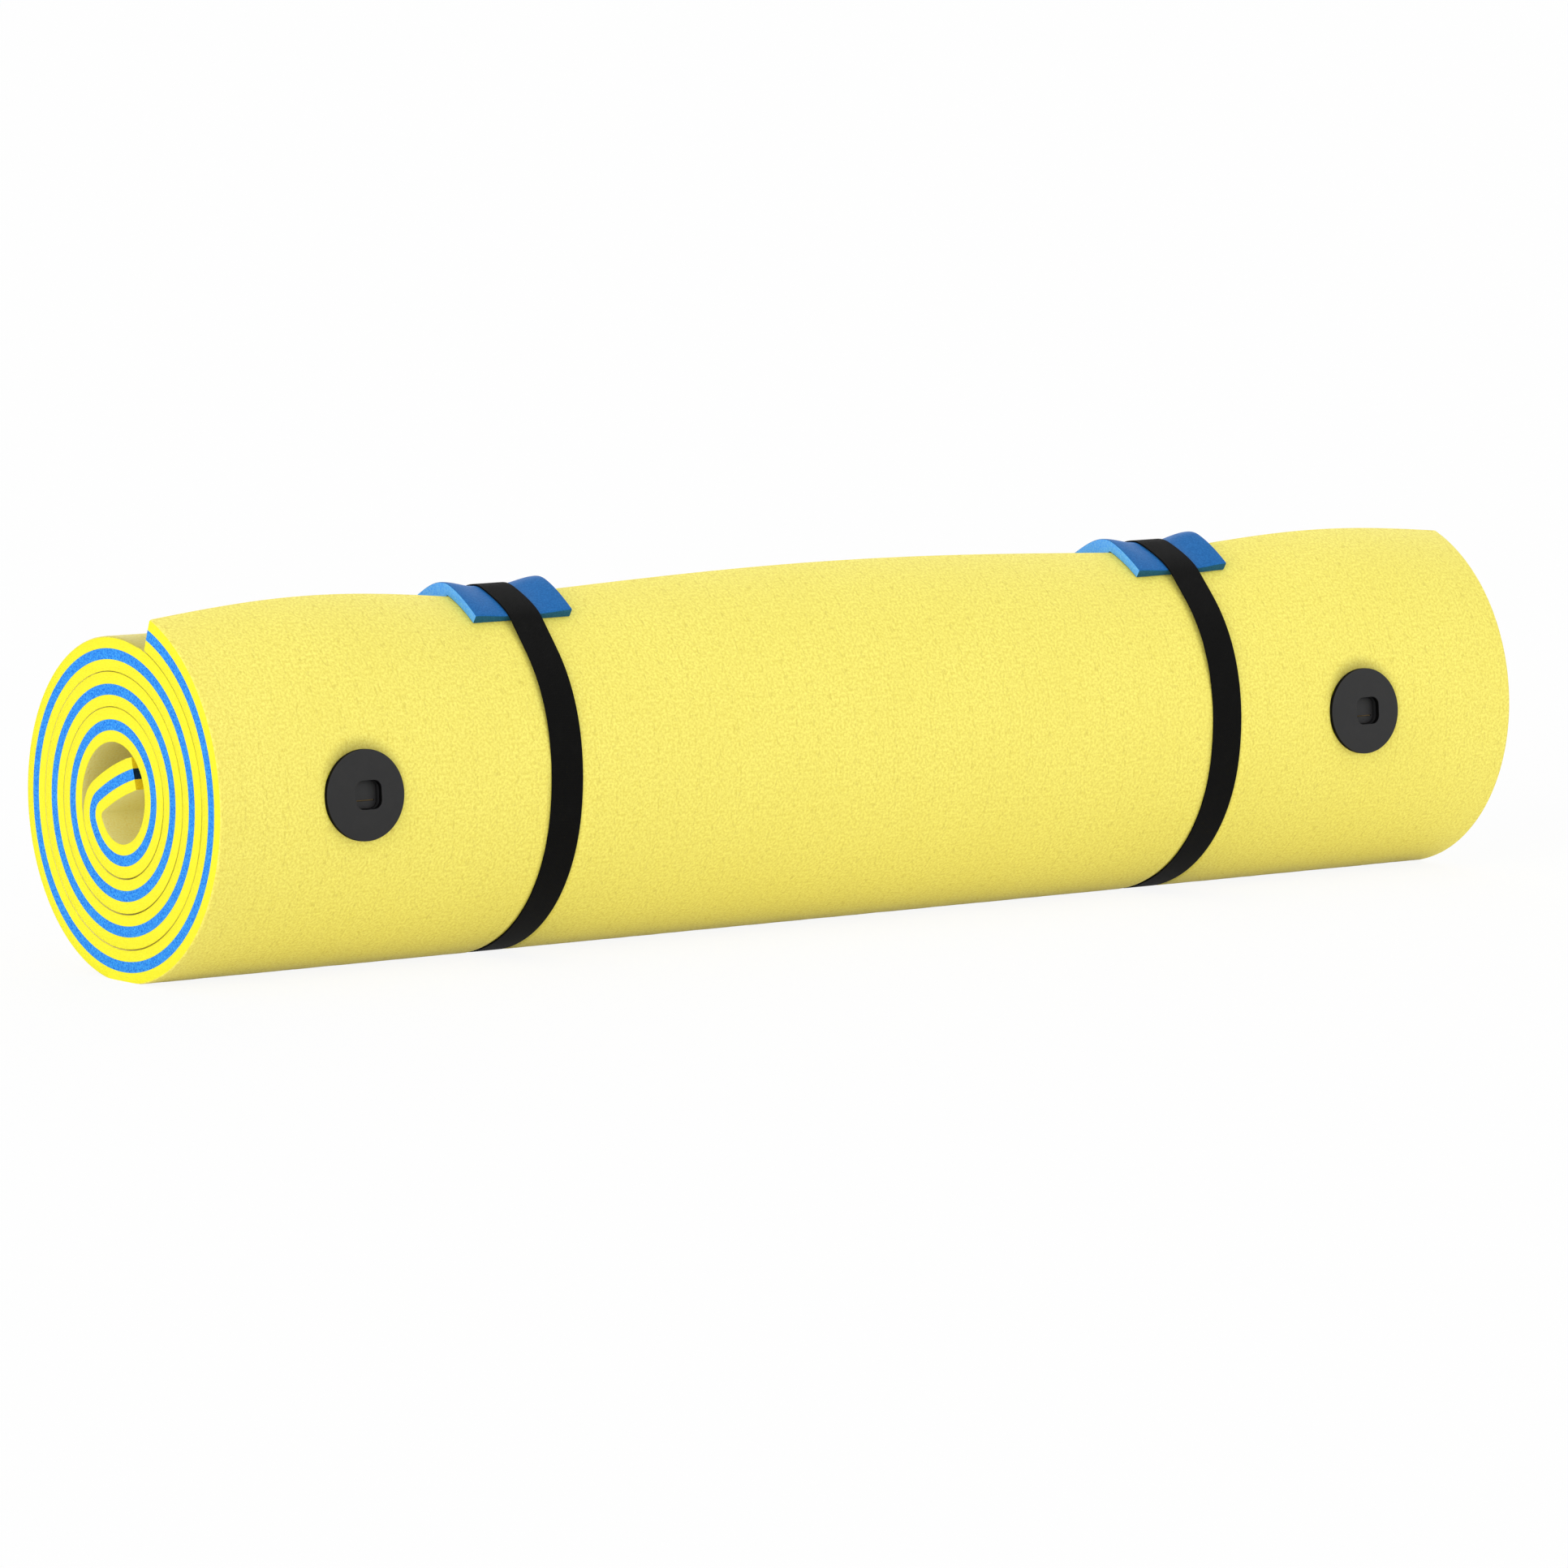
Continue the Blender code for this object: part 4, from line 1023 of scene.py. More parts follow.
def roll_tree():
    tree, value = new_tree("roll_up", {**roll_values(), "Skin": skin, "Cut": cut_yellow})
    across, along, up = split(Wire.node(tree, "GeometryNodeInputPosition"))
    middle = value["Outer radius"] - value["Sheet"] / 2.0
    degrees_by_radius = along.math("MINIMUM", value["Spiral length"]) * (180.0 / math.pi)
    root = (middle * middle - value["Pitch"] * degrees_by_radius / 180.0).math("SQRT")
    sweep = 360.0 * (middle - root) / value["Pitch"]
    past_spiral = (along - value["Spiral length"]).math("MAXIMUM", 0.0)
    bend = past_spiral.math("MINIMUM", value["Bend length"])
    run = (past_spiral - value["Bend length"]).math("MAXIMUM", 0.0)
    angle = (value["Start angle"] + sweep) * (math.pi / 180.0)
    angle = angle + bend / value["Bend radius"] + run / value["Run radius"]

    in_bend = past_spiral > 1e-7
    in_run = run > 1e-7
    stages = (1.0 - in_bend, in_bend - in_run, in_run)
    radii = (middle - value["Pitch"] * sweep / 360.0, value["Bend radius"], value["Run radius"])
    centres = [split(value[label]) for label in ("Axis", "Bend centre", "Run centre")]

    def now(values):
        """The value that holds on the spiral, in the bend or in the last run."""
        spiral, bent, straight = (value * stage for value, stage in zip(values, stages))
        return spiral + bent + straight

    pressed = attribute(tree, "press")
    on_skin = (up > -1e-5) * (1.0 - (pressed > 0.0))
    waves = noise(joined(tree, across * WAVES[0], along * WAVES[1]), 1.0, 2.0, 0.5) - 0.5
    height = now(radii) + value["Sheet"] / 2.0 + up + attribute(tree, "lift") - pressed
    height = height + waves * value["Relief"] * on_skin
    y = now([centre[1] for centre in centres]) - height * angle.math("SINE")
    z = now([centre[2] for centre in centres]) + height * angle.math("COSINE")
    floor = (pressed > 0.0) * limit(pressed, 0.0, WEBBING + GAP)
    z = z.math("SMOOTH_MAX", floor, FLOOR_BLEND)
    placed = Wire.node(tree, "GeometryNodeSetPosition", {},
                       {"Geometry": value["Geometry"], "Position": joined(tree, across, y, z)})
    on_cut = Wire.node(tree, "GeometryNodeInputMaterialIndex") > 0.5
    return end_tree(tree, placed, (value["Skin"], 1.0 - on_cut), (value["Cut"], on_cut))


rolling = roll_tree()
for obj in layers.values():
    outside, inside = obj.data.materials
    run_tree(obj, rolling, {**roll_values(), "Skin": outside, "Cut": inside})
    print(obj.name, "is rolled up,", len(obj.data.polygons), "faces")

# %% [markdown]
# ## Seats for the anchors
#
# Each anchor sits in a round seat that was routed into the roll, with a hole for its sleeve through the
# outer turn and a pocket for its back plate on the other side. A Boolean modifier with turned cutters
# does the same to the rolled layers.

# %% Sizes of an anchor
ANCHOR_TURN = math.radians(ANCHOR_ANGLE)
ANCHOR_SURFACE = surface_radius(ANCHOR_ANGLE)
PLATE_THICKNESS = 0.0055
PLATE_PROUD = 0.0035
PLATE_UNDER = PLATE_PROUD - PLATE_THICKNESS
SEAT_CLEARANCE = 0.0006
SLEEVE_RADIUS = 0.0240
WINDOW = (0.0336, 0.0320, 0.0100)
WINDOW_ASIDE = 0.0042
WINDOW_DEPTH = 0.0115
BACK_FACE = -SHEET + 0.0036
BACK_PLATE_RADIUS = 0.038
BACK_PLATE = 0.0040
POST_CLEARANCE = 0.0004
POST_TOP = PLATE_PROUD - WINDOW_DEPTH
SLOT_HEIGHT = 0.0016
SLOT_WIDTH = 0.0278
SLOT_Y = -0.0064


def anchor_place(x):
    """Matrix that stands a piece on the roll with its own Z along the anchor's axis."""
    y, z = round_the_roll(ANCHOR_ANGLE, ANCHOR_SURFACE)
    return Matrix.Translation((x, y, z)) @ Matrix.Rotation(ANCHOR_TURN, 4, "X")


print("anchors stand", PLATE_PROUD * 1000, "mm proud")

# %% Turned cutters and the cuts
CUTTER_SEGMENTS = 96
CUTTER_OVERRUN = 0.02
LAYER_SHARP = 38.0


def turned_cutter(name, profile, x):
    """Closed turned solid from a profile of (radius, height), from the axis at the top to the axis."""
    bm = bmesh.new()
    rings = []
    for radius, height in profile:
        turns = [2.0 * math.pi * step / CUTTER_SEGMENTS for step in range(CUTTER_SEGMENTS if radius else 1)]
        rings.append([bm.verts.new((radius * math.cos(t), radius * math.sin(t), height)) for t in turns])
    for upper, lower in zip(rings, rings[1:]):
        for step in range(CUTTER_SEGMENTS):
            corners = [upper[step % len(upper)], upper[(step + 1) % len(upper)],
                       lower[(step + 1) % len(lower)], lower[step % len(lower)]]
            bm.faces.new(list(dict.fromkeys(corners)))
    bmesh.ops.recalc_face_normals(bm, faces=bm.faces)
    bmesh.ops.transform(bm, matrix=anchor_place(x), verts=bm.verts)
    return new_piece(name, bm, cut_yellow, cut_yellow)


def anchor_cutters(x):
    seat, sleeve, pocket = [radius + SEAT_CLEARANCE for radius in
                            (PLATE_RADIUS, SLEEVE_RADIUS, BACK_PLATE_RADIUS)]
    ledge = PLATE_UNDER - GAP
    bottom = BACK_FACE - BACK_PLATE / 2
    roof = BACK_FACE + GAP
    inside = ANCHOR_SURFACE - SHEET
    floor = -SHEET - (inside - math.sqrt(inside * inside - pocket * pocket)) - GAP
    profiles = {
        "bore": ((0.0, CUTTER_OVERRUN), (seat, CUTTER_OVERRUN), (seat, ledge), (sleeve, ledge),
                 (sleeve, bottom), (0.0, bottom)),
        "pocket": ((0.0, roof), (pocket, roof), (pocket, floor), (0.0, floor)),
    }
    return [turned_cutter(name, profile, x) for name, profile in profiles.items()]


cutters = [cutter for x in ANCHORS.values() for cutter in anchor_cutters(x)]
for node, obj in layers.items():
    cut_away(obj, cutters)
    obj.data.materials[1] = cut_blue if "core" in node else cut_yellow
    shade_smooth(obj, LAYER_SHARP)
    print(obj.name, "has its seats,", len(obj.data.polygons), "faces")
for cutter in cutters:
    bpy.data.objects.remove(cutter)


# %% The sheet's inner end
def finish_inner_end(obj, material):
    """The cut at the sheet's inner end, deep in the hollow, gets painted shade: darker copies of the cut foam
    colours.
    """
    flat = obj.data.uv_layers["flat"].data
    obj.data.materials.append(material)
    for face in obj.data.polygons:
        if min(flat[loop].uv.y for loop in face.loop_indices) > RUN_END - 1e-4:
            face.material_index = len(obj.data.materials) - 1


for node, obj in layers.items():
    finish_inner_end(obj, blue_end_painted_shade if "core" in node else yellow_end_painted_shade)
    print(obj.name, [material.name for material in obj.data.materials])

# %% The layers ride on the roll
for node, obj in layers.items():
    settle(obj, node, "roll", "blue_foam" if "core" in node else "yellow_foam")
print("three layers replace", list(layers))

# %% [markdown]
# ## Pads
#
# A pad is a short piece of blue foam that the belt bends over the free edge. It keeps its thickness at
# the sides, where the belt doesn't press it. It is drawn as a slab in the pad's own two directions,
# across and round the roll, with rims only slightly rounded, because this foam is crisp.

# %% Two pads
PAD_RIM = 0.0009
PAD_ROWS = 56
PAD_COLUMNS = 48
PAD_SHARP = 50.0


def pad_rows():
    """(angle, inset) of each row of a pad, front to back. The inset rounds its front and back rims."""
    margin = math.degrees(PAD_RIM / FREE_EDGE_RADIUS)
    rims = [(margin * sine, PAD_RIM * (1.0 - cosine)) for sine, cosine in quarter(RIM_STEPS)[1:]]
    front = PAD_FRONT_ANGLE - margin
    back = PAD_BACK_ANGLE + margin
    rows = [(front + out, inset) for out, inset in reversed(rims)]
    rows += [(mix(front, back, step / PAD_ROWS), 0.0) for step in range(PAD_ROWS + 1)]
    return rows + [(back - out, inset) for out, inset in rims]


def make_pad(name, place):
    def point(row, offset, down, way):
        angle, inset = row
        if way > 0:
            radius = pad_ground(place + offset, angle, PAD_REST_ANGLE) + pad_thickness(offset, angle)
        else:
            radius = pad_ground(place + offset, angle, PAD_FILL_ANGLE)
        return (place + offset, *round_the_roll(angle, radius - way * (down + inset)))

    half = PAD_HALF - 2 * PAD_RIM
    offsets = [-half + 2 * half * step / PAD_COLUMNS for step in range(PAD_COLUMNS + 1)]
    bm = bmesh.new()
    skins = slab_of(bm, pad_rows(), rounded_row(offsets, PAD_HALF, 0.0, PAD_RIM, 1.0), point)
    # Painted shade: the pad's front cut face gets a darker copy of the cut pad foam.
    front = {vert for rows in skins for vert in rows[0]}
    for face in bm.faces:
        if front.issuperset(face.verts):
            face.material_index = 2
    return shade_smooth(new_piece(name, bm, pad_skin, pad_cut, painted_shade_pad_front), PAD_SHARP)


for side, place in BELTS.items():
    pad = make_pad(side + "_pad_foam", place)
    settle(pad, side + "_pad", "roll", "blue_foam")
    print(pad.name, len(pad.data.polygons), "faces")

# %% [markdown]
# ## Belts
#
# Webbing, patches and the rubber tab are all flat strips that follow a line round the roll, so one
# function sweeps them: at each point of the line it puts a row of points above and a row below, with
# rounded selvages. The strip's own length and width go into its UV map for the weave.

# %% A strip along a path
STRIP_RIM = 0.45
STRIP_COLUMNS = 10
STRIP_SHARP = 60.0


def directions(path):
    """Outward direction at each point of a path in the YZ plane."""
    found = []
    for before, after in zip([path[0], *path[:-1]], [*path[1:], path[-1]]):
        along = (Vector(after) - Vector(before)).normalized()
        found.append(Vector((along.y, -along.x)))
    return found


def make_strip(name, path, place, width, thickness, material):
    def point(row, x, down, way):
        (y, z), out = row
        reach = way * (thickness / 2 - down)
        return place + x, y + out.x * reach, z + out.y * reach

    rim = thickness * STRIP_RIM
    inner = width / 2 - 2 * rim
    stations = [-inner + 2 * inner * step / STRIP_COLUMNS for step in range(STRIP_COLUMNS + 1)]
    bm = bmesh.new()
    section = rounded_row(stations, width / 2, 0.0, rim, 1.0)
    skins = slab_of(bm, list(zip(path, directions(path))), section, point)
    along = {vert: length for rows in skins for length, row in zip(lengths_along(path), rows) for vert in row}
    flat = bm.loops.layers.uv.new("flat")
    for face in bm.faces:
        face.material_index = 0
        for loop in face.loops:
            loop[flat].uv = (loop.vert.co.x - place, along[loop.vert])
    return shade_smooth(new_piece(name, bm, material), STRIP_SHARP)


print("strips can be made")

# %% [markdown]
# The belt starts at a sewn eye round the ring's upper bar, runs over the pad, down the front, under the
# roll and up the back, and turns round the ring's lower bar. From there it goes on as the loose tail.

# %% Sizes of the closure
BAR_RADIUS = RING_BAR / 2
BAR_HEIGHT = GAP + BAR_RADIUS
RING_WIDTH = 0.046 + RING_BAR
RING_CORNER = 0.003
WRAP_RADIUS = BAR_RADIUS + GAP + HALF_WEBBING
WRAP_ANGLE = 200.0
WRAP_STEPS = 22
EYE = (-BAR - 0.018, -BAR - 0.006)
PATCH = 0.0010
PATCH_WIDTH = BELT_WIDTH - 0.003
LOOP_PATCH = (0.026, 0.156)
HOOK_PATCH = (0.036, 0.114)
HOOK_HEIGHT = GAP + PATCH + GAP
HOOK_BASE = PATCH * 0.7
TAIL_HEIGHT = HOOK_HEIGHT + PATCH + GAP + HALF_WEBBING
TAIL_END = BAR + 0.118
TAIL_FADE = 0.016
TAIL_START = 0.0006
RAMP_STEPS = 5
TAB = 0.0024
TAB_HEIGHT = TAIL_HEIGHT + HALF_WEBBING + GAP + TAB / 2
TAB_SPAN = (TAIL_END - 0.020, TAIL_END + 0.014)
TAB_WIDTH = BELT_WIDTH - 0.006
print("the tail lies", round(TAIL_HEIGHT * 1000, 1), "mm over the roll")


# %% Lines that the closure follows
def level_run(start, end, height, step=BELT_STEP):
    count = max(2, round((end - start) / step))
    return [behind(mix(start, end, number / count), height) for number in range(count + 1)]


def bar_wrap(bar, way):
    """Webbing round a ring bar, from under it to over it."""
    turns = [math.radians(WRAP_ANGLE * step / WRAP_STEPS) for step in range(1, WRAP_STEPS + 1)]
    return [behind(bar + way * WRAP_RADIUS * math.sin(turn), BAR_HEIGHT - WRAP_RADIUS * math.cos(turn))
            for turn in turns]


def belt_line(side):
    eye = level_run(*EYE, GAP + HALF_WEBBING) + bar_wrap(-BAR, 1.0)[::-1]
    return ease(eye, 2) + BELT_LOOPS[side] + bar_wrap(BAR, -1.0)


def tail_line():
    turned = Vector(bar_wrap(BAR, -1.0)[-1])
    fade = Vector(behind(BAR + TAIL_FADE, TAIL_HEIGHT))
    start = turned.lerp(fade, TAIL_START / (fade - turned).length)
    ramp = [start.lerp(fade, step / RAMP_STEPS) for step in range(RAMP_STEPS)]
    return ease(ramp + level_run(BAR + TAIL_FADE, TAIL_END, TAIL_HEIGHT), 4)


print("the tail is", round(lengths_along(tail_line())[-1], 3), "m long")

# %% Webbing, tail and patches
for side, place in BELTS.items():
    tail = side + "_tail"
    loop_line = level_run(*LOOP_PATCH, GAP + PATCH / 2)
    hook_line = level_run(*HOOK_PATCH, HOOK_HEIGHT + PATCH / 2)
    tab_line = level_run(*TAB_SPAN, TAB_HEIGHT, BELT_STEP / 2)
    strips = (
        ("belt", "belt_webbing", "roll", "webbing", webbing, belt_line(side), BELT_WIDTH, WEBBING),
        ("tail_webbing", "belt_tail", tail, "webbing", webbing, tail_line(), BELT_WIDTH, WEBBING),
        ("loop_tape", "loop_patch", "roll", "loop_pile", loop_pile, loop_line, PATCH_WIDTH, PATCH),
        ("hook_tape", "hook_patch", tail, "hook_tape", hook_tape, hook_line, PATCH_WIDTH, HOOK_BASE),
        ("tab", "pull_tab", tail, "tab_rubber", tab_rubber, tab_line, TAB_WIDTH, TAB),
    )
    for name, node, body, slot, material, line, width, thickness in strips:
        strip = make_strip(f"{side}_{name}", line, place, width, thickness, material)
        settle(strip, f"{side}_{node}", body, slot)
        print(strip.name, len(strip.data.polygons), "faces")

# %% [markdown]
# The ring is a rectangle of round plastic bar. A tube along a rounded rectangle is a closed chain of
# small circles, so it is drawn directly: each circle stands across the line at its own place.

# %% Rings
BAR_SIDES = 14
CORNER_STEPS = 7


def rounded_outline(width, height, corner, segments):
    """Points round a rectangle with rounded corners, about its middle."""
    points = []
    for corner_number, (side_x, side_y) in enumerate(((1, 1), (-1, 1), (-1, -1), (1, -1))):
        for step in range(segments + 1):
            turn = math.pi / 2 * (corner_number + step / segments)
            points.append((side_x * (width / 2 - corner) + corner * math.cos(turn),
                           side_y * (height / 2 - corner) + corner * math.sin(turn)))
    return points


def lofted(name, rings, closed, *materials):
    """Solid of rings of points with the same count, joined in order. Open ends get a flat cap."""
    bm = bmesh.new()
    rows = [[bm.verts.new(point) for point in ring] for ring in rings]
    if not closed:
        bm.faces.new(rows[0])
        bm.faces.new(rows[-1])
    for first, second in zip(rows, rows[1:] + rows[:1] * closed):
        for step in range(len(first)):
            after = (step + 1) % len(first)
            bm.faces.new((first[step], first[after], second[after], second[step]))
    bmesh.ops.recalc_face_normals(bm, faces=bm.faces)
    return new_piece(name, bm, *materials)


def make_ring(name, place):
    upper = Vector(behind(-BAR, BAR_HEIGHT))
    lower = Vector(behind(BAR, BAR_HEIGHT))
    down = (lower - upper).normalized()
    out = Vector((down.y, -down.x))
    line = rounded_outline(RING_WIDTH, (lower - upper).length, RING_CORNER, CORNER_STEPS)
    turns = [2.0 * math.pi * step / BAR_SIDES for step in range(BAR_SIDES)]
    rings = []
    for number, (x, along) in enumerate(line):
        ahead = (Vector(line[(number + 1) % len(line)]) - Vector(line[number - 1])).normalized()
        ring = []
        for turn in turns:
            aside = BAR_RADIUS * math.cos(turn)
            spot = (upper + lower) / 2 + down * (along - ahead.x * aside)
            ring.append((place + x + ahead.y * aside, *(spot + out * BAR_RADIUS * math.sin(turn))))
        rings.append(ring)
    ring = lofted(name, rings, True, ring_plastic)
    ring.data.shade_smooth()
    return ring


for side, place in BELTS.items():
    ring = make_ring(side + "_ring", place)
    settle(ring, side + "_belt_ring", "roll", "ring_plastic")
    print(ring.name, len(ring.data.polygons), "faces")

# %% [markdown]
# ## Stitches, ribs and hooks with Geometry Nodes
#
# Sewing is one small shape repeated along a line. The tree turns a line of edges into a curve, puts
# points on it at the stitch length, and stands a small sphere, stretched to the size of a stitch, on
# each. The direction that it lies in comes from the curve, and which side is up comes from an
# attribute of the line. The ribs of the rubber tab and the hooks of the tape are the same idea.

# %% Tree that repeats a bead along lines
BEAD_SIZES = ("Spacing", "Length", "Width", "Height")


def bead_tree():
    tree, value = new_tree("beads_on_lines", {**dict.fromkeys(BEAD_SIZES, 0.0), "Material": thread})
    curve = Wire.node(tree, "GeometryNodeMeshToCurve", {}, {"Mesh": value["Geometry"]})
    spaced = Wire.node(tree, "GeometryNodeResampleCurve", {"mode": "LENGTH"},
                       {"Curve": curve, "Length": value["Spacing"]})
    points = Wire.node(tree, "GeometryNodeCurveToPoints", {"mode": "EVALUATED"}, {"Curve": spaced})
    lying = Wire.node(tree, "FunctionNodeAlignRotationToVector", {"axis": "X"}, {"Vector": points.out("Tangent")})
    turned = Wire.node(tree, "FunctionNodeAlignRotationToVector", {"axis": "Z", "pivot_axis": "X"},
                       {"Rotation": lying, "Vector": attribute(tree, "outward", "FLOAT_VECTOR")})
    bead = Wire.node(tree, "GeometryNodeMeshUVSphere", {}, {"Segments": 6, "Rings": 4, "Radius": 0.5})
    smooth_bead = Wire.node(tree, "GeometryNodeSetShadeSmooth", {}, {"Geometry": bead})
    size = joined(tree, value["Length"], value["Width"], value["Height"])
    set_out = Wire.node(tree, "GeometryNodeInstanceOnPoints", {}, {
        "Points": points, "Instance": smooth_bead, "Rotation": turned, "Scale": size})
    return end_tree(tree, set_out, (value["Material"], True))


beads = bead_tree()


def bead_rows(name, lines, sizes, material):
    """Beads along lines. Each line is a list of (point, outward direction)."""
    points, outwards = zip(*itertools.chain(*lines))
    edges = []
    first = 0
    for line in lines:
        edges += [(first + step, first + step + 1) for step in range(len(line) - 1)]
        first += len(line)
    mesh = bpy.data.meshes.new(name)
    mesh.from_pydata(points, edges, [])
    layer = mesh.attributes.new("outward", "FLOAT_VECTOR", "POINT")
    for item, out in zip(layer.data, outwards):
        item.vector = out
    return run_tree(new_object(name, mesh), beads, {**dict(zip(BEAD_SIZES, sizes)), "Material": material})


print("beads can be set out")

# %% Lines of sewing on a strip
LINE_STEP = 0.003


def strip_line(place, start, end, height):
    """Line between two (x, along) places on a strip, each point with its outward direction."""
    count = max(2, round(math.dist(start, end) / LINE_STEP))
    line = []
    for step in range(count + 1):
        x, along = (mix(first, last, step / count) for first, last in zip(start, end))
        turn = math.radians(behind_angle(along))
        line.append(((place + x, *behind(along, height)), (0.0, -math.sin(turn), math.cos(turn))))
    return line


def box_stitch(place, half, start, end, height, crossed=False):
    corners = ((-half, start), (half, start), (half, end), (-half, end))
    legs = ((0, 1), (1, 2), (2, 3), (3, 0)) + ((0, 2), (1, 3)) * crossed
    return [strip_line(place, corners[first], corners[second], height) for first, second in legs]


def cross_rows(place, half, start, step, count, height, way=1.0):
    """Lines straight across a strip, with beads on its upper side or, way -1, its lower side."""
    places = [start + number * step for number in range(count)]
    lines = [strip_line(place, (-half, along), (half, along), height) for along in places]
    return [[(point, [way * value for value in out]) for point, out in line] for line in lines]


print("sewing can be laid out")

# %% Stitches, ribs and hooks
STITCH = (0.0030, 0.0025, 0.0007, 0.0006)
RIB = (0.0035, 0.0046, 0.0011, 0.0009)
HOOK = (0.0015, 0.0004, 0.0004, 0.0011)
SEAM = 0.002
TAB_SEAM = 0.003
WIDE_SEAM = 0.004
EYE_SEAM = (-BAR - 0.016, -BAR - 0.007)
PATCH_SEAM = PATCH_WIDTH / 2 - SEAM
HOOKS_START = HOOK_PATCH[0] + 0.003
HOOK_ROWS = 48
RIBS_START = TAIL_END + 0.001
RIB_STEP = 0.0024
RIB_ROWS = 5
TAIL_TOP = TAIL_HEIGHT + HALF_WEBBING
TAB_TOP = TAB_HEIGHT + TAB / 2
for side, place in BELTS.items():
    tail = side + "_tail"
    patch_box = box_stitch(place, PATCH_SEAM, LOOP_PATCH[0] + SEAM, LOOP_PATCH[1] - SEAM, GAP + PATCH)
    eye_box = box_stitch(place, BELT_WIDTH / 2 - WIDE_SEAM, *EYE_SEAM, GAP + WEBBING, crossed=True)
    tail_box = box_stitch(place, PATCH_SEAM, HOOK_PATCH[0] + SEAM, TAB_SPAN[0] - WIDE_SEAM, TAIL_TOP)
    tab_box = box_stitch(place, TAB_WIDTH / 2 - TAB_SEAM, TAB_SPAN[0] + TAB_SEAM, TAIL_END - TAB_SEAM, TAB_TOP)
    ribs = cross_rows(place, TAB_WIDTH / 2 - WIDE_SEAM, RIBS_START, RIB_STEP, RIB_ROWS, TAB_TOP)
    hooks = cross_rows(place, PATCH_SEAM, HOOKS_START, HOOK[0], HOOK_ROWS, HOOK_HEIGHT, -1.0)
    rows = {
        "belt_sewing": (patch_box + eye_box, STITCH, thread, "roll", "webbing"),
        "tail_sewing": (tail_box + tab_box, STITCH, thread, tail, "webbing"),
        "tab_ribs": (ribs, RIB, tab_rubber, tail, "tab_rubber"),
        "hooks": (hooks, HOOK, hook_tape, tail, "hook_tape"),
    }
    for name, (lines, sizes, material, body, slot) in rows.items():
        settle(bead_rows(f"{side}_{name}", lines, sizes, material), None, body, slot)
    print(side, "belt is sewn")

# %% [markdown]
# ## Anchors
#
# Each anchor is two moulded plates that snap together through the foam. Both are drawn as lofts: chains
# of closed rings, some circles and some rounded squares, all with the same number of points, so that
# circle and window blend in clean quads and every edge gets its real small radius.

# %% Rings of an anchor
RING_POINTS = 96
RING_TURNS = [2.0 * math.pi * (step + 0.5) / RING_POINTS for step in range(RING_POINTS)]
EDGE_STEPS = 5
ANCHOR_SHARP = 32.0


def window_reach(turn, width, height, corner):
    """Distance from the middle to the edge of a rounded rectangle in a direction."""
    across, up = abs(math.cos(turn)), abs(math.sin(turn))
    half_width, half_height = width / 2, height / 2
    if across > 1e-9 and half_width / across * up <= half_height - corner:
        return half_width / across
    if up > 1e-9 and half_height / up * across <= half_width - corner:
        return half_height / up
    centre = (half_width - corner, half_height - corner)
    ahead = across * centre[0] + up * centre[1]
    return ahead + math.sqrt(ahead * ahead - centre[0] ** 2 - centre[1] ** 2 + corner * corner)


def circles(*levels):
    """A circle about the anchor's axis at each (height, radius)."""
    return [[(radius * math.cos(turn), radius * math.sin(turn), height) for turn in RING_TURNS]
            for height, radius in levels]


def windows(size, *levels):
    """The window's outline, a little aside of the axis, at each (height, how much larger it is)."""
    outlines = []
    for height, by in levels:
        grown = (size[0] + 2 * by, size[1] + 2 * by, size[2] + by)
        reaches = [(turn, window_reach(turn, *grown)) for turn in RING_TURNS]
        outlines.append([(WINDOW_ASIDE + reach * math.cos(turn), reach * math.sin(turn), height)
                         for turn, reach in reaches])
    return outlines


def rim_circles(radius, height, edge):
    """Circles that round an edge from its top face down to its side."""
    return circles(*[(height - edge * (1.0 - cosine), radius - edge * (1.0 - sine))
                     for sine, cosine in quarter(EDGE_STEPS)])


def finish_anchor(obj, x):
    obj.data.transform(anchor_place(x))
    return shade_smooth(obj, ANCHOR_SHARP)


print(len(RING_TURNS), "points in each ring")

# %% Front plate
LIP = 0.0005
LIP_BORDER = 0.0012
WINDOW_SHADE_DEPTH = 0.0062
PLATE_EDGE = 0.0008
UNDER_EDGE = 0.0004
SLEEVE_FILLET = 0.001
SLEEVE_EDGE = 0.0006
WINDOW_EDGE = 0.0003


def make_front_plate(name, x):
    """Plate, sleeve and window. Painted shade, a near-black copy of the plastic, lies on the plate's side and high
    in the window.
    """
    bottom = BACK_FACE + GAP
    rings = rim_circles(PLATE_RADIUS, PLATE_PROUD, PLATE_EDGE)
    rings += circles((PLATE_UNDER + UNDER_EDGE, PLATE_RADIUS), (PLATE_UNDER, PLATE_RADIUS - UNDER_EDGE),
                     (PLATE_UNDER, SLEEVE_RADIUS + SLEEVE_FILLET), (PLATE_UNDER - SLEEVE_FILLET, SLEEVE_RADIUS),
                     (bottom + SLEEVE_EDGE, SLEEVE_RADIUS), (bottom, SLEEVE_RADIUS - SLEEVE_EDGE))
    lip = [(PLATE_PROUD - LIP + LIP * sine, LIP * (1.0 - cosine)) for sine, cosine in quarter(EDGE_STEPS)]
    rings += windows(WINDOW, (bottom, WINDOW_EDGE), (bottom + WINDOW_EDGE, 0.0),
                     (PLATE_PROUD - WINDOW_SHADE_DEPTH, 0.0), *lip, (PLATE_PROUD, LIP + LIP_BORDER))
    plate = lofted(name, rings, True, anchor_plastic, anchor_side_painted_shade)
    for face in plate.data.polygons:
        inside = math.hypot(face.center.x, face.center.y) < SLEEVE_RADIUS
        lowest = PLATE_PROUD - WINDOW_SHADE_DEPTH if inside else PLATE_UNDER
        in_painted_shade = abs(face.normal.z) < 0.5 and lowest < face.center.z < PLATE_PROUD - LIP * 0.6
        face.material_index = int(in_painted_shade)
    return finish_anchor(plate, x)


print("a window's lip is", LIP * 1000, "mm")

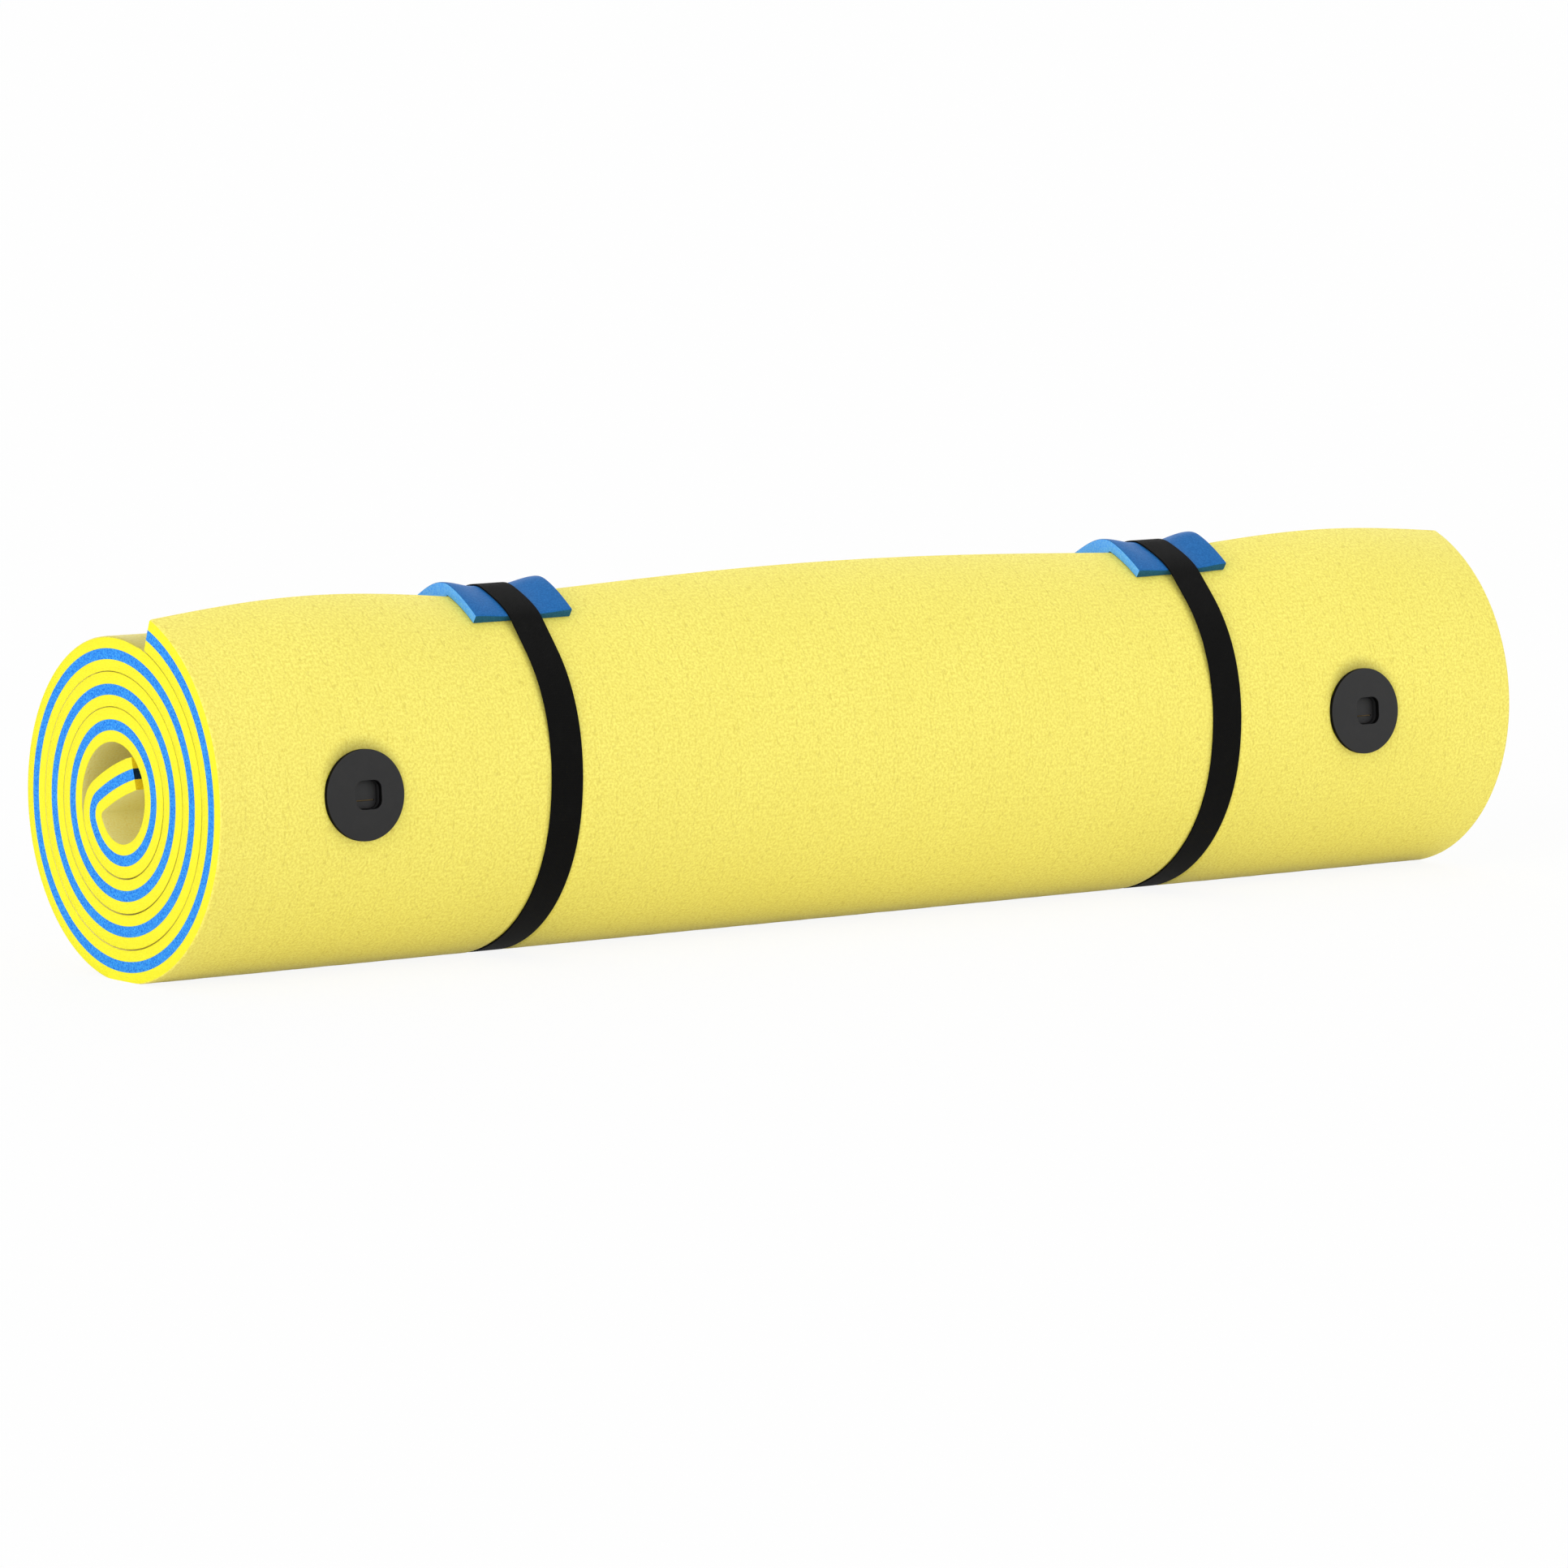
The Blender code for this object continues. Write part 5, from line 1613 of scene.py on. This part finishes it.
# %% Back plate, and the foam in its slot
POST_EDGE = 0.0006
POST_STEPS = 3
POST_INSET = 0.004
BACK_EDGE = 0.0010
BACK_INNER = 0.010
SLOT_STEPS = 4
SLOT_OVERRUN = 0.005
FOAM_DROP = 0.0016
FOAM_DEPTH = 0.006
FOAM_EDGE = 0.0003


def slot_points(level, size):
    return [(x + WINDOW_ASIDE, y + SLOT_Y, level) for x, y in rounded_outline(*size, SLOT_STEPS)]


def make_back_plate(name, x):
    back = BACK_FACE - BACK_PLATE
    post = (WINDOW[0] - 2 * POST_CLEARANCE, WINDOW[1] - 2 * POST_CLEARANCE, WINDOW[2] - POST_CLEARANCE)
    edge = [(POST_TOP - POST_EDGE * (1.0 - cosine), -POST_EDGE * (1.0 - sine))
            for sine, cosine in quarter(POST_STEPS)]
    rings = windows(post, (POST_TOP, -POST_INSET), *edge, (BACK_FACE, 0.0))
    rings += rim_circles(BACK_PLATE_RADIUS, BACK_FACE, BACK_EDGE)
    rings += circles((back + BACK_EDGE, BACK_PLATE_RADIUS), (back, BACK_PLATE_RADIUS - BACK_EDGE),
                     (back, BACK_INNER))
    slot = (SLOT_WIDTH, SLOT_HEIGHT, SLOT_HEIGHT * 0.4)
    levels = (POST_TOP + SLOT_OVERRUN, back - SLOT_OVERRUN)
    cutter = lofted("slot", [slot_points(level, slot) for level in levels], False, post_plastic)
    plate = cut_away(lofted(name, rings, False, post_plastic), [cutter])
    bpy.data.objects.remove(cutter)
    return finish_anchor(plate, x)


def make_slot_foam(name, x):
    """Edge of the foam that shows in the slot, in painted shade: a dim copy of the yellow foam."""
    top = POST_TOP - FOAM_DROP
    size = (SLOT_WIDTH - 0.0004, SLOT_HEIGHT - 0.0002, 0.0005)
    levels = ((top, FOAM_EDGE), (top - FOAM_EDGE, 0.0), (top - FOAM_DEPTH, 0.0))
    rings = [slot_points(level, (size[0] - 2 * shrink, size[1] - 2 * shrink, size[2] - shrink))
             for level, shrink in levels]
    return finish_anchor(lofted(name, rings, False, slot_foam_painted_shade), x)


for side, x in ANCHORS.items():
    body = side + "_anchor"
    settle(make_front_plate(side + "_front_plate", x), side + "_anchor_front_plate", body, "anchor_plastic")
    settle(make_back_plate(side + "_back_plate", x), side + "_anchor_back_plate", body, "anchor_plastic")
    settle(make_slot_foam(side + "_slot_foam", x), None, body, "yellow_foam")
    print(side, "anchor is in")

# %% [markdown]
# ## Floor, light and camera
#
# The photograph was taken on a white ground under even, frontal light. The floor and the world are
# white to the camera, while the world lights the mat at a plainer level, and large soft lamps shape it.
# The floor stays partly a plain diffuse surface, so the mat's shadow still falls on it.

# %% White ground
WORLD_LEVEL = 0.495
FLOOR_SHARE = 0.90
WHITE = (1.0, 1.0, 1.0, 1.0)
FLOOR_HALF = 60.0
FLOOR_DROP = 0.0002


def seen_directly(tree):
    path = Wire.node(tree, "ShaderNodeLightPath")
    return limit(path + path.out("Is Glossy Ray") + path.out("Is Transmission Ray"))


def make_world():
    world = bpy.data.worlds.new("white_room")
    world.use_nodes = True
    tree = world.node_tree
    seen = seen_directly(tree)
    back = tree.nodes["Background"]
    back.inputs["Color"].default_value = WHITE
    tree.links.new((seen + (1.0 - seen) * WORLD_LEVEL).socket, back.inputs["Strength"])
    bpy.context.scene.world = world


def make_floor():
    mesh = bpy.data.meshes.new("floor")
    corners = [(x * FLOOR_HALF, y * FLOOR_HALF, 0.0) for x, y in ((-1, -1), (1, -1), (1, 1), (-1, 1))]
    mesh.from_pydata(corners, [], [(0, 1, 2, 3)])
    material = bpy.data.materials.new("white_floor")
    material.use_nodes = True
    tree = material.node_tree
    tree.nodes.remove(tree.nodes["Principled BSDF"])
    plain = Wire.node(tree, "ShaderNodeBsdfDiffuse", {}, {"Color": WHITE})
    bright = Wire.node(tree, "ShaderNodeEmission", {}, {"Color": WHITE, "Strength": 1.0})
    share = seen_directly(tree) * FLOOR_SHARE
    mixed = Wire.node(tree, "ShaderNodeMixShader", {}, {0: share, 1: plain, 2: bright})
    tree.links.new(mixed.socket, tree.nodes["Material Output"].inputs["Surface"])
    floor = new_object("floor", mesh, material)
    floor.location.z = -FLOOR_DROP


make_world()
make_floor()
print("the ground is white")

# %% Soft lamps
# Each lamp is a broad sun: the direction that it comes from, its share of a full light, and its width.
LAMPS = {
    "front_lamp": ((0.35, -0.82, 0.20), 0.18, 45.0),
    "left_lamp": ((-0.92, -0.33, 0.13), 0.61, 50.0),
    "top_lamp": ((0.05, -0.10, 1.0), 0.20, 90.0),
    "back_lamp": ((0.60, 0.70, 0.30), 0.26, 60.0),
}

for name, (place, share, width) in LAMPS.items():
    lamp = bpy.data.lights.new(name, "SUN")
    lamp.energy = share * math.pi
    lamp.angle = math.radians(width)
    obj = bpy.data.objects.new(name, lamp)
    obj.rotation_euler = Vector(place).to_track_quat("Z", "Y").to_euler()
    bpy.context.scene.collection.objects.link(obj)
print(len(LAMPS), "lamps")

# %% [markdown]
# The camera stands where the photographer stood: its place and lens were fitted to the straight edges
# of the roll and the spiral of its end.

# %% Camera
CAMERA_PLACE = (-5.98881, -8.22735, 1.29880)
CAMERA_TURNS = {"azimuth": -35.9756, "elevation": 6.4150, "roll": -0.3008}
LENS = 202.76
SENSOR = 36.0
azimuth, elevation, roll = [math.radians(turn) for turn in CAMERA_TURNS.values()]
level = Vector((math.sin(azimuth), -math.cos(azimuth), 0.0)) * math.cos(elevation)
back = level + Vector((0.0, 0.0, math.sin(elevation)))
right = Vector((math.cos(azimuth), math.sin(azimuth), 0.0))
up = back.cross(right)
axes = (right * math.cos(roll) + up * math.sin(roll), up * math.cos(roll) - right * math.sin(roll), back)
camera = bpy.data.objects.new("camera", bpy.data.cameras.new("camera"))
camera.data.lens = LENS
camera.data.sensor_width = SENSOR
camera.matrix_world = Matrix.Translation(CAMERA_PLACE) @ Matrix(axes).transposed().to_4x4()
bpy.context.scene.collection.objects.link(camera)
bpy.context.scene.camera = camera
bpy.context.scene.view_settings.view_transform = "Standard"
print("camera at", CAMERA_PLACE)
